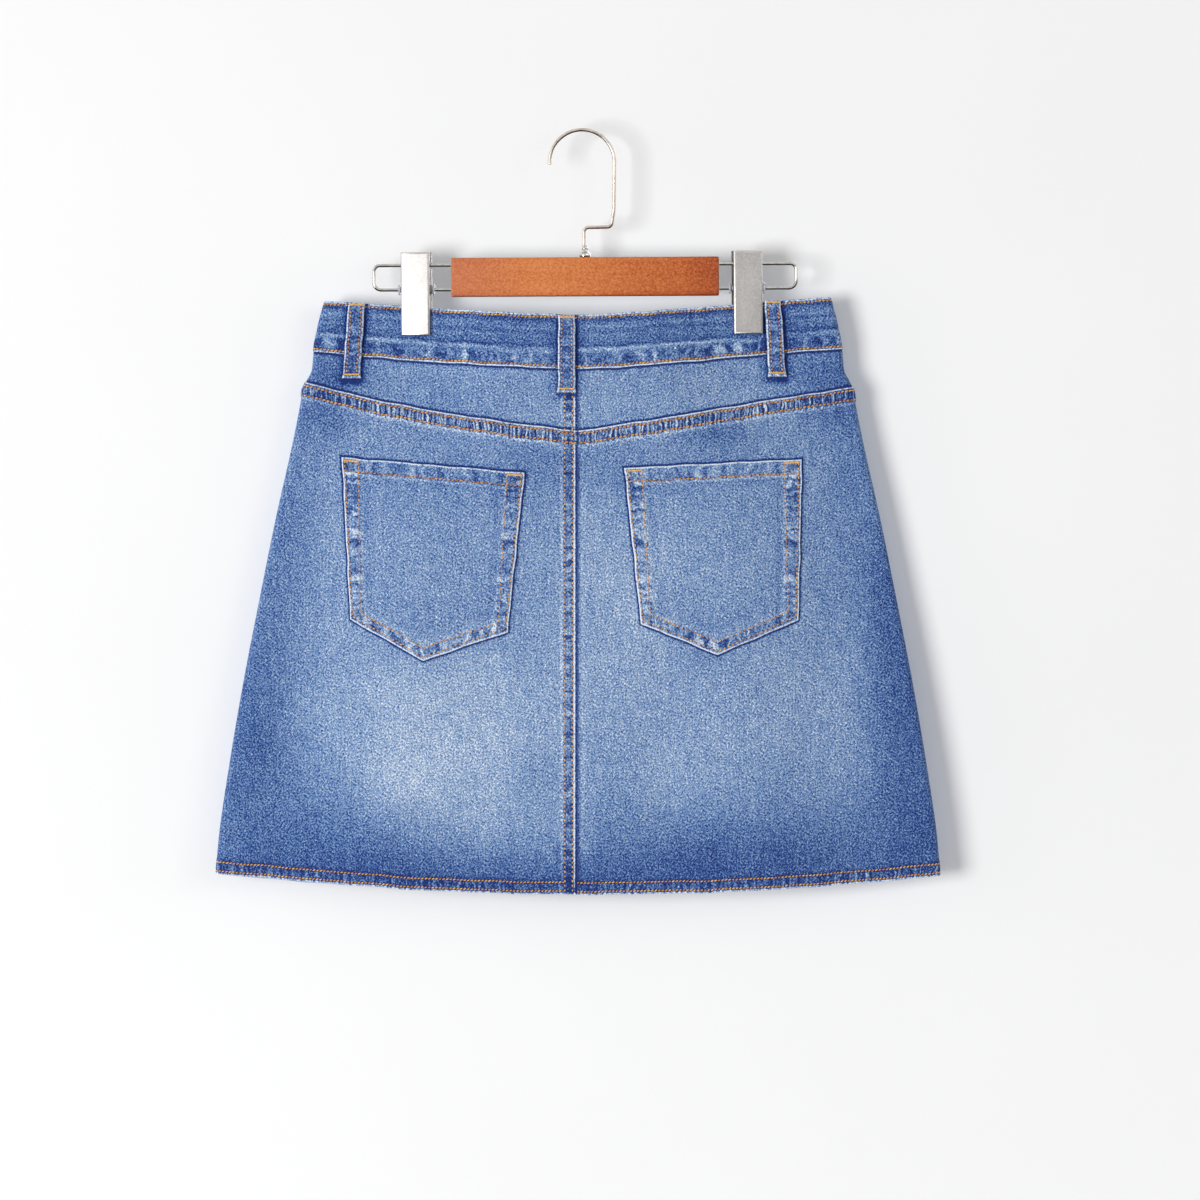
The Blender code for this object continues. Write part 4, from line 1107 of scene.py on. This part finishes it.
# ---- belt loops ----
def loop_touch(loop, across, along):
    """Seat and outer face of a loop's cloth; across is in millimetres from its middle."""
    band_seat = BAND_OUT + SEAM_GAP
    seat = steady_curve(
        [0.0, 0.08, 0.26, 0.55, 0.78, 0.92, 1.0],
        [band_seat, band_seat, LOOP_BELT_GAP, LOOP_BELT_GAP, band_seat + 0.5, loop.foot_seat, loop.foot_seat],
    )(along)
    from_side = LOOP_WIDTH / 2 - abs(across)
    length = loop.top_z - loop.foot_z
    from_ends = min(along, 1 - along) * length
    doubled = max(until(along, 0.06, 0.05), ease((along - 0.88) / 0.05))
    thick = mix(LOOP_CLOTH, LOOP_END_CLOTH, doubled) * rounded(from_side, 1.0) * rounded(from_ends, 1.0)
    groove = hill(from_side, LOOP_ROW, 1.0)
    out = seat + max(thick, 0.3) - 0.35 * groove + hills(from_side, (0.25, 1.4, 1.2))
    wear = hills(from_side, (1.6, 0.6, 0.9)) + hills(from_ends, (1.2, 0.5, 1.8 if along > 0.5 else 1.4))
    bars = 0.6 * ease((from_side - 2.0) / 1.5)
    # Painted shade in the stitch grooves and a little over the whole loop.
    return Touch(out, seat, wear, 0.6 * groove + 0.05, bars, along * length * 0.6, -0.06)


def loop_point(loop, across, along):
    """Where on the skirt a place of the loop is: turn and height."""
    flare = 1 + 0.12 * ease((along - 0.92) / 0.08) - 0.04 * ease((0.3 - along) / 0.3)
    height = mix(loop.top_z, loop.foot_z, along)
    x = mix(loop.top_x, loop.foot_x, along) + across * flare + 0.7 * wander(height * 1.6 + loop.top_x)
    return turn_of(x, height, loop.front), height


LOOP_SIDE = (0.0, 0.012, 0.03, 0.047, 0.065, 0.085, 0.11, 0.16, 0.2, 0.25, 0.3, 0.37, 0.44)
LOOP_END = (0.0, 0.003, 0.008, 0.015, 0.024, 0.04, 0.06, 0.075, 0.09, 0.11)


def add_belt_loop(loop, patch):
    def place_at(column, row):
        across = (column.share * 2 - 1) * LOOP_WIDTH / 2
        return Place(*loop_point(loop, across, row.share), loop_touch(loop, across, row.share))

    columns = stations(*LOOP_SIDE, 0.5, *(1 - share for share in reversed(LOOP_SIDE)))
    rows = stations(*LOOP_END) + even_stations(0.11, 0.87, 30) + stations(0.88, 0.895, 0.91, 0.925)
    rows += stations(*(1 - share for share in reversed(LOOP_END[:7])))
    piece = cloth_piece(loop.name, columns, rows, place_at, patch)


# ---- sewing ----
chance = random.Random(7)


class Sewing:
    """Rows of stitches that make one piece. Each is a short plump spindle of thread."""

    def __init__(self):
        self.whole = bmesh.new()
        self.open_batch()

    def open_batch(self):
        self.batch = bmesh.new()
        self.tones = self.batch.verts.layers.float.new("tone")
        self.laid = 0

    def close_batch(self):
        mesh = bpy.data.meshes.new("batch")
        self.batch.to_mesh(mesh)
        self.batch.free()
        self.whole.from_mesh(mesh)
        bpy.data.meshes.remove(mesh)

    def lay(self, middle, along, outward, length, width, depth, tone):
        """One stitch, its thread painted darker towards the ends as shade, where it goes into the cloth."""
        across = outward.cross(along).normalized()
        axes = Matrix((across * width / 2, outward * depth / 2, along * length / 2)).transposed().to_4x4()
        place = Matrix.Translation(middle) @ axes
        made = bmesh.ops.create_uvsphere(self.batch, u_segments=6, v_segments=5, radius=1.0, matrix=place)
        for vertex in made["verts"]:
            from_middle = abs((vertex.co - middle).dot(along)) / (length / 2)
            vertex[self.tones] = tone - 0.45 * from_middle ** 3
        self.laid += 1
        if self.laid == 30:
            self.close_batch()
            self.open_batch()

    def row(self, path, tone=0.5, pitch=3.5, width=1.3, slant=0.25, cover=0.96, depth=0.9):
        """Stitches along a path of (place, outward) pairs. Each covers that share of the pitch."""
        lengths = [0.0]
        for (before, _), (after, _) in zip(path, path[1:]):
            lengths.append(lengths[-1] + (after - before).length)
        count = max(1, round(lengths[-1] / pitch))
        step = lengths[-1] / count
        span = 0
        for number in range(count):
            reach = (number + 0.5) * step
            while lengths[span + 1] < reach:
                span += 1
            (before, out_before), (after, out_after) = path[span], path[span + 1]
            share = (reach - lengths[span]) / (lengths[span + 1] - lengths[span])
            outward = out_before.lerp(out_after, share).normalized()
            turned = Matrix.Rotation(slant + chance.uniform(-0.06, 0.06), 3, outward)
            along = turned @ (after - before).normalized()
            shade = tone + chance.uniform(-0.2, 0.2)
            self.lay(before.lerp(after, share), along, outward, step * cover, width, depth, shade)

    def tack(self, start, end, outward, width=2.1, tone=0.84, pitch=0.62, slant=0.32, rise=0.1):
        """A dense zigzag from one place to another."""
        count = max(6, round((end - start).length / pitch))
        run = (end - start).normalized()
        across = outward.cross(run).normalized()
        for number in range(count):
            odd = number % 2
            along = (across + run * (slant if odd else -slant)).normalized()
            middle = start.lerp(end, (number + 0.5) / count) + outward * (rise * odd)
            self.lay(middle, along, outward, width, 0.72, 0.8, tone + chance.uniform(-0.12, 0.12))

    def finish(self, name):
        self.close_batch()
        finished(f"thread_{name}", self.whole, THREAD, crisp=80)


def cloth_path(start_turn, end_turn, height_at, out, step=0.012):
    """A path across the tube, its height given for each turn."""
    count = max(2, round(abs(end_turn - start_turn) / step))
    turns = [mix(start_turn, end_turn, number / count) for number in range(count + 1)]
    return [on_cloth(turn, height_at(turn), out) for turn in turns]


def upright_path(turn_at, top, foot, count, out):
    """A path down the tube, its turn given for each height."""
    heights = [mix(top, foot, number / count) for number in range(count + 1)]
    return [on_cloth(turn_at(height), height, out) for height in heights]


def patch_path(corners, out, front=False, step=3.0):
    """A path through corners given as x and height."""
    spots = []
    for (x, z), (next_x, next_z) in zip(corners, corners[1:]):
        count = max(1, round(math.hypot(next_x - x, next_z - z) / step))
        spots += [(mix(x, next_x, number / count), mix(z, next_z, number / count)) for number in range(count)]
    return [on_cloth(turn_of(x, z, front), z, out) for x, z in spots + [corners[-1]]]


def sew_waistband():
    sewing = Sewing()
    out = BAND_OUT + 0.02
    for start, end in ((-0.992, 0.992), (1.008, 1.985), (2.995, lap_end() + 0.012)):
        for height_at in (lambda turn: top_edge(turn) - TOP_ROW, lambda turn: waist_seam(turn) + WAIST_ROW):
            if start < 2:
                sewing.row(cloth_path(start, end, height_at, out), 0.6, pitch=2.85)
                continue
            path = []
            for place, outward in cloth_path(start, end, height_at, out, 0.006):
                turn = turn_of(place.x, place.z, front=True)
                lift = lap_lift((turn - lap_end()) / turns_per_mm(place.z))
                path.append((place + outward * lift, outward))
            sewing.row(path, 0.6, pitch=2.85)
    end_turn = lap_end() + TOP_ROW * turns_per_mm(-180)
    top, foot = top_edge(end_turn) - TOP_ROW, waist_seam(end_turn) + WAIST_ROW
    sewing.row(upright_path(lambda height: end_turn, top, foot, 12, BAND_OUT + LAP_HEIGHT + 0.25))
    sewing.finish("waistband")


def sew_back():
    sewing = Sewing()
    for row in FELL_ROWS:
        for start, end in ((-0.992, -0.004), (0.004, 0.992)):
            path = cloth_path(start, end, lambda turn: yoke_seam(turn) - row, FELL_RAISE)
            sewing.row(path, 0.58, pitch=3.0)
    sewing.finish("yoke")
    sewing = Sewing()
    for row in MIDDLE_ROWS:
        turn_at = lambda height: -row * turns_per_mm(height)
        path = upright_path(turn_at, waist_seam(0) - 1.5, hem_edge(0) + 1.5, 112, FELL_RAISE)
        sewing.row(path, 0.7, width=1.2, slant=0.1, cover=0.6)
    sewing.finish("middle")


def sew_hem():
    sewing = Sewing()
    for row in HEM_ROWS:
        for start, end in ((-0.992, 0.992), (1.008, 2.992)):
            path = cloth_path(start, end, lambda turn: hem_edge(turn) + row, 0.32)
            sewing.row(path, 0.66, pitch=2.65, width=1.15, slant=0.45)
    sewing.finish("hem")


def sew_fly():
    """The curved double row that holds the fly's facing on the front."""
    sewing = Sewing()
    head = waist_seam(2) - 2
    for inset in FLY_ROWS:
        corners = [(MIDDLE_X - inset, head)]
        for step in range(9):
            angle = step / 8 * math.pi / 2
            corners.append((MIDDLE_X - inset * math.cos(angle), head - 80 - (inset + 12) * math.sin(angle)))
        sewing.row(patch_path(corners, FELL_RAISE + 0.2, front=True))
    for height in (-240.0, -326.0):
        turns = [turn_of(MIDDLE_X - shift, height, front=True) for shift in (2.0, 10.0)]
        (start, outward), (end, _) = (on_cloth(turn, height) for turn in turns)
        sewing.tack(start + outward * 1.1, end + outward * 1.1, outward)
    sewing.finish("fly")


def sew_pocket(pocket):
    """Mouth row, double rows down the sides that come closer at the foot, double foot rows and two tacks."""
    sewing = Sewing()
    top_left, top_right, width, tip_share, foot = pocket_frame(pocket)
    out = POCKET_SEAT + POCKET_CLOTH + POCKET_TURN_RAISE

    def at(share, from_mouth=None, from_foot=0.0):
        head, heel = top_left.lerp(top_right, share), foot(share)
        length = (head - heel).length
        return strayed(head.lerp(heel, 1 - from_foot / length if from_mouth is None else from_mouth / length))

    mouth = [at(share, POCKET_MOUTH_ROW) for share in (0.012, 0.25, 0.5, 0.75, 0.988)]
    sewing.row(patch_path(mouth, out - 0.1), 0.55, pitch=3.1, width=1.2)
    outer, inner = (row / width for row in POCKET_ROWS)
    taper_left, taper_right = (inset / width for inset in pocket.taper)
    for tops, feet, low, tip in (
        ((outer, 1 - outer), (outer, 1 - outer), POCKET_FOOT_ROWS[0] + 0.6, POCKET_FOOT_ROWS[0]),
        ((inner, 1 - inner), (taper_left, 1 - taper_right), POCKET_FOOT_ROWS[1], POCKET_FOOT_ROWS[1]),
    ):
        left_foot, right_foot = (at(share, from_foot=low) for share in feet)
        for corners in (
            [at(tops[0], 2.0), left_foot],
            [left_foot, at(tip_share, from_foot=tip), right_foot],
            [right_foot, at(tops[1], 2.0)],
        ):
            path = patch_path(corners, out - 0.1)
            sewing.row(path, 0.62, pitch=3.4, width=1.15, slant=0.12, cover=0.68)
    for shares in ((outer * 0.8, inner), (1 - inner, 1 - outer * 0.8)):
        spots = [at(share, 2.4) for share in shares]
        (start, _), (end, outward) = (on_cloth(turn_of(x, z), z, out + 0.15) for x, z in spots)
        sewing.tack(start, end, outward, width=2.0)
    sewing.finish(pocket.name)


def sew_loop(loop):
    """Two rows along the loop and a tack at each end."""
    sewing = Sewing()

    def spot(across, along, lift):
        return on_cloth(*loop_point(loop, across, along), loop_touch(loop, across, along).out + lift)

    for side in (-1, 1):
        across = side * (LOOP_WIDTH / 2 - LOOP_ROW)
        path = [spot(across, 0.05 + 0.88 * number / 16, 0.22) for number in range(17)]
        sewing.row(path, 0.62, pitch=3.0, width=1.2, slant=0.12, cover=0.75)
    for along in (0.028, 0.953):
        reach = LOOP_WIDTH / 2 - 1.0
        (start, outward), (end, _) = (spot(side * reach, along, 0.45) for side in (-1, 1))
        sewing.tack(start, end, outward, width=1.9)
    sewing.finish(loop.name)


# ---- hanger and button ----
HANGER_PLACE = Matrix.Translation((0, 0, HANGER_Z)) @ Matrix.Rotation(math.radians(HANGER_TILT), 4, "Y")


def turned(profile, place, steps=32):
    """Spins a profile of (radius, height) points round Z and puts it in place."""
    shape = bmesh.new()
    ring = [shape.verts.new((radius, 0, height)) for radius, height in profile]
    edges = [shape.edges.new(pair) for pair in zip(ring, ring[1:])]
    bmesh.ops.spin(
        shape, geom=ring + edges, cent=(0, 0, 0), axis=(0, 0, 1), angle=math.tau, steps=steps, use_merge=True
    )
    bmesh.ops.remove_doubles(shape, verts=shape.verts, dist=0.0005)
    bmesh.ops.transform(shape, matrix=place, verts=shape.verts)
    return shape


def rounded_route(corners, radii, corner_steps):
    """Points along straight runs whose corners are rounded with arcs."""
    route = [corners[0]]
    for before, corner, after, radius in zip(corners, corners[1:], corners[2:], radii):
        back = (before - corner).normalized()
        on = (after - corner).normalized()
        half_angle = back.angle(on) / 2
        reach = radius / math.tan(half_angle)
        centre = corner + (back + on).normalized() * (radius / math.sin(half_angle))
        start = (corner + back * reach - centre).normalized()
        end = (corner + on * reach - centre).normalized()
        for step in range(corner_steps + 1):
            route.append(centre + start.slerp(end, step / corner_steps) * radius)
    return route + [corners[-1]]


def wire(word, route, radius, plate):
    """A round wire along a route, in place of its CAD node."""
    curve = bpy.data.curves.new(f"bright_{word}", "CURVE")
    curve.dimensions = "3D"
    curve.bevel_depth = radius * MM
    curve.bevel_resolution = 5
    curve.use_fill_caps = True
    spline = curve.splines.new("POLY")
    spline.points.add(len(route) - 1)
    for point, spot in zip(spline.points, route):
        point.co = (*(spot * MM), 1.0)
    spline.use_smooth = True
    placed(f"bright_{word}", curve, plate, [f"hanger_{word}"])


def add_wires():
    """The hook, its stem cranked back over the bar's middle, and the long wire eye at each end of the bar."""
    inner, aside = HOOK_RADIUS - HOOK_WIRE, -2.25
    centre = Vector((aside, 0, -math.sqrt(inner ** 2 - aside ** 2)))
    bend = []
    for step in range(41):
        angle = math.radians(mix(184, 0, step / 40))
        bend.append(centre + Vector((math.cos(angle), 0, math.sin(angle))) * HOOK_RADIUS)
    stem = [Vector((x, 0, z)) for x, z in ((21.6, -59.0), (19.6, -71.6), (-0.9, -72.0), (-0.9, -85.0))]
    wire("hook", bend[:-1] + rounded_route(bend[-1:] + stem, (30.0, 3.4, 3.6), 8), HOOK_WIRE, RUBBED_NICKEL)
    for side, word in ((-1, "left"), (1, "right")):
        ends = ((100.8, 1), (158.6, 1), (158.6, -1), (100.8, -1))
        corners = [Vector((side * x, 0, way * EYE_HALF_HEIGHT)) for x, way in ends]
        route = [HANGER_PLACE @ spot for spot in rounded_route(corners, (4.6, 5.6), 10)]
        wire(f"wire_{word}", route, SIDE_WIRE, DARKENED_NICKEL)


def add_ferrule():
    foot = HANGER_Z + BAR_SIZE[2] / 2 + 0.3
    profile = [(radius, foot + height) for radius, height in (
        (0, 0), (3.7, 0), (4.0, 0.2), (4.1, 0.5), (4.1, 2.5), (3.9, 2.9), (3.4, 3.2), (2.6, 3.5), (2.3, 4.0),
        (2.25, 5.6), (2.5, 5.9), (2.5, 6.3), (2.2, 6.6), (2.1, 8.5), (1.9, 8.8), (0, 8.9),
    )]
    shape = turned(profile, Matrix.Identity(4))
    finished("turned_ferrule", shape, DARKENED_NICKEL, replaced=["hook_ferrule"])


def add_bar():
    """The wooden bar, its edges eased. It bounces no brown light onto the wall."""
    shape = bmesh.new()
    bmesh.ops.create_cube(shape, size=1)
    bmesh.ops.scale(shape, vec=BAR_SIZE, verts=shape.verts)
    bmesh.ops.bevel(
        shape, geom=shape.edges[:], offset=1.1, affect="EDGES", segments=5, profile=0.5, material=-1
    )
    bmesh.ops.transform(shape, matrix=HANGER_PLACE, verts=shape.verts)
    bar = finished("stained_bar", shape, WOOD, replaced=["hanger_bar"], flat_faced=True)
    bar.visible_diffuse = False


def add_clips():
    """Each leaf is the CAD leaf with its triangles merged, smooth over its rolled edges."""
    bore, sleeve, flange = 1.5, 2.3, 4.0
    mouth = CLIP_WIDTH / 2 + 1.1
    end = mouth + 1.6
    half = [
        (bore, end), (flange - 0.4, end), (flange, end - 0.4), (flange, mouth + 0.3), (flange - 0.3, mouth),
        (sleeve, mouth),
    ]
    profile = [(radius, -height) for radius, height in half] + half[::-1] + [(bore, -end)]
    for side, word in ((-1, "left"), (1, "right")):
        for leaf in ("near", "far"):
            node = f"clip_{word}_{leaf}"
            shape = bmesh.new()
            shape.from_mesh(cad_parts[node].data)
            bmesh.ops.scale(shape, vec=(1 / MM,) * 3, verts=shape.verts)
            bmesh.ops.remove_doubles(shape, verts=shape.verts, dist=0.001)
            finished(f"satin_{node}", shape, SATIN_STEEL, 28, [node], flat_faced=True)
        eye = Matrix.Translation((clip_x(side), 0, -EYE_HALF_HEIGHT)) @ Matrix.Rotation(math.pi / 2, 4, "Y")
        name, shape = f"clip_{word}_bushing", turned(profile, HANGER_PLACE @ eye)
        finished(f"clear_{name}", shape, CLEAR_PLASTIC, replaced=[name])


def add_button():
    """A metal shank button with a raised rim and a ring of fine steps."""
    height = (top_edge(2) + waist_seam(2)) / 2
    turn = 2 - (FRONT_LAP - BUTTON_FROM_END) * turns_per_mm(height)
    outward = tube_normal(turn, height)
    seat = tube_point(turn, height) + outward * (BAND_OUT + LAP_HEIGHT + SEAM_GAP)
    place = Matrix.Translation(seat) @ outward.to_track_quat("Z", "X").to_matrix().to_4x4()
    profile = (
        (0, 0), (4.25, 0), (4.25, 1.2), (7.6, 1.25), (8.2, 1.5), (8.5, 2.0), (8.5, 2.4), (8.2, 3.0),
        (7.6, 3.5), (7.1, 3.6), (6.7, 3.45), (6.5, 3.1), (6.2, 2.95), (5.2, 3.0), (5.0, 3.2), (4.6, 3.25),
        (4.4, 3.05), (3.0, 3.1), (2.6, 3.25), (0.9, 3.4), (0, 3.42),
    )
    finished("nickel_button", turned(profile, place, 40), DARKENED_NICKEL, replaced=["waist_button"])


# ---- stage, lights and camera ----
def add_stage():
    """A wall just behind the hanger, clear when seen from behind, and a floor. Metal mirrors neither."""
    for name, size, place, turn, colour, glow in (
        ("wall", 3.6, (0.0, 0.027, 0.4), math.pi / 2, (243, 243, 243), 0.05),
        ("floor", 6.0, (0.0, 2.65, -1.3), 0.0, (240, 240, 240), 0.0),
    ):
        is_wall = name == "wall"
        shape = bmesh.new()
        spot = Matrix.Translation(place) @ Matrix.Rotation(turn, 4, "X")
        bmesh.ops.create_grid(shape, x_segments=1, y_segments=1, size=size / 2, matrix=spot)
        mesh = bpy.data.meshes.new(name)
        shape.to_mesh(mesh)
        shape.free()
        mesh.materials.append(stage_finish(f"pale_{name}", colour, glow, see_through_back=is_wall))
        sheet = bpy.data.objects.new(name, mesh)
        bpy.context.scene.collection.objects.link(sheet)
        sheet.visible_glossy = False
        sheet.visible_shadow = not is_wall


def add_lights():
    middle = Vector((0.0, 0.0, -0.35))
    for name, place, size, power, mirrored in (
        ("key", (-3.4, -4.6, -0.7), 2.4, 228, True),
        ("fill_right", (2.6, -3.2, 0.6), 1.6, 14, True),
        ("fill_front", (0.2, -3.2, -0.4), 2.4, 6.5, True),
        ("side_left", (-3.2, -0.9, 0.1), 1.3, 10.7, False),
        ("side_right", (3.2, -0.9, 0.1), 1.3, 10.7, False),
        ("behind", (0.7, 3.6, 0.6), 1.6, 44, True),
    ):
        light = bpy.data.lights.new(name, "AREA")
        light.shape = "DISK"
        light.size = size
        light.energy = power
        lamp = bpy.data.objects.new(name, light)
        bpy.context.scene.collection.objects.link(lamp)
        lamp.location = place
        lamp.rotation_euler = (middle - Vector(place)).to_track_quat("-Z", "Y").to_euler()
        lamp.visible_camera = False
        lamp.visible_glossy = mirrored


def add_world():
    """Soft light from all round. Polished metal mirrors a bright ceiling and sides over a dark ground."""
    world = bpy.data.worlds.new("studio")
    world.use_nodes = True
    bpy.context.scene.world = world
    light = Nodes(world.node_tree)
    direction = light.node("ShaderNodeTexCoord").outputs["Generated"]
    parts = light.node("ShaderNodeSeparateXYZ", {"Vector": direction}).outputs
    height = light.add(parts["Z"], 0.5, 0.5)

    def levels(*stops):
        return light.ramp(height, *(((place + 1) / 2, (grey, grey, grey)) for place, grey in stops))

    soft = levels((-0.5, 128), (-0.1, 157), (0.0, 165), (0.3, 157), (0.7, 138))
    mirrored = levels((-0.08, 8), (0.0, 140), (0.1, 248), (0.7, 252))
    beside = light.span(light.math("ABSOLUTE", parts["X"]), 0.6, 0.95, 0.0, 0.5)
    rays = light.node("ShaderNodeLightPath").outputs
    mirrored = light.math("ADD", mirrored, beside)
    level = light.add(light.math("SUBTRACT", mirrored, soft), rays["Is Glossy Ray"], soft)
    level = light.add(light.math("SUBTRACT", 0.8, level), rays["Is Camera Ray"], level)
    light.join(light.tree.nodes["Background"], {"Color": (1.0, 1.0, 1.0, 1.0), "Strength": level})


def add_camera():
    """Level with the skirt's middle, far back with a long lens; the frame is 0.9 m across at the skirt."""
    camera = bpy.data.cameras.new("camera")
    camera.sensor_width = 36.0
    distance, skirt_y = 5.0, -0.007
    camera.lens = camera.sensor_width * (distance + skirt_y) / 0.9
    viewer = bpy.data.objects.new("camera", camera)
    bpy.context.scene.collection.objects.link(viewer)
    viewer.location = (0.01125, -distance, -0.35175)
    viewer.rotation_euler = (math.pi / 2, 0, 0)
    bpy.context.scene.camera = viewer


# ---- everything ----
add_waistband()
add_yoke()
add_panels()
for number, pocket in enumerate(POCKETS):
    add_pocket(pocket, 9 + number)
for number, loop in enumerate(BELT_LOOPS):
    add_belt_loop(loop, 11 + number)
sew_waistband()
sew_back()
sew_hem()
sew_fly()
for pocket in POCKETS:
    sew_pocket(pocket)
for loop in BELT_LOOPS:
    sew_loop(loop)
add_wires()
add_ferrule()
add_bar()
add_clips()
add_button()
add_stage()
add_lights()
add_world()
add_camera()
bpy.context.scene.view_settings.view_transform = "Standard"
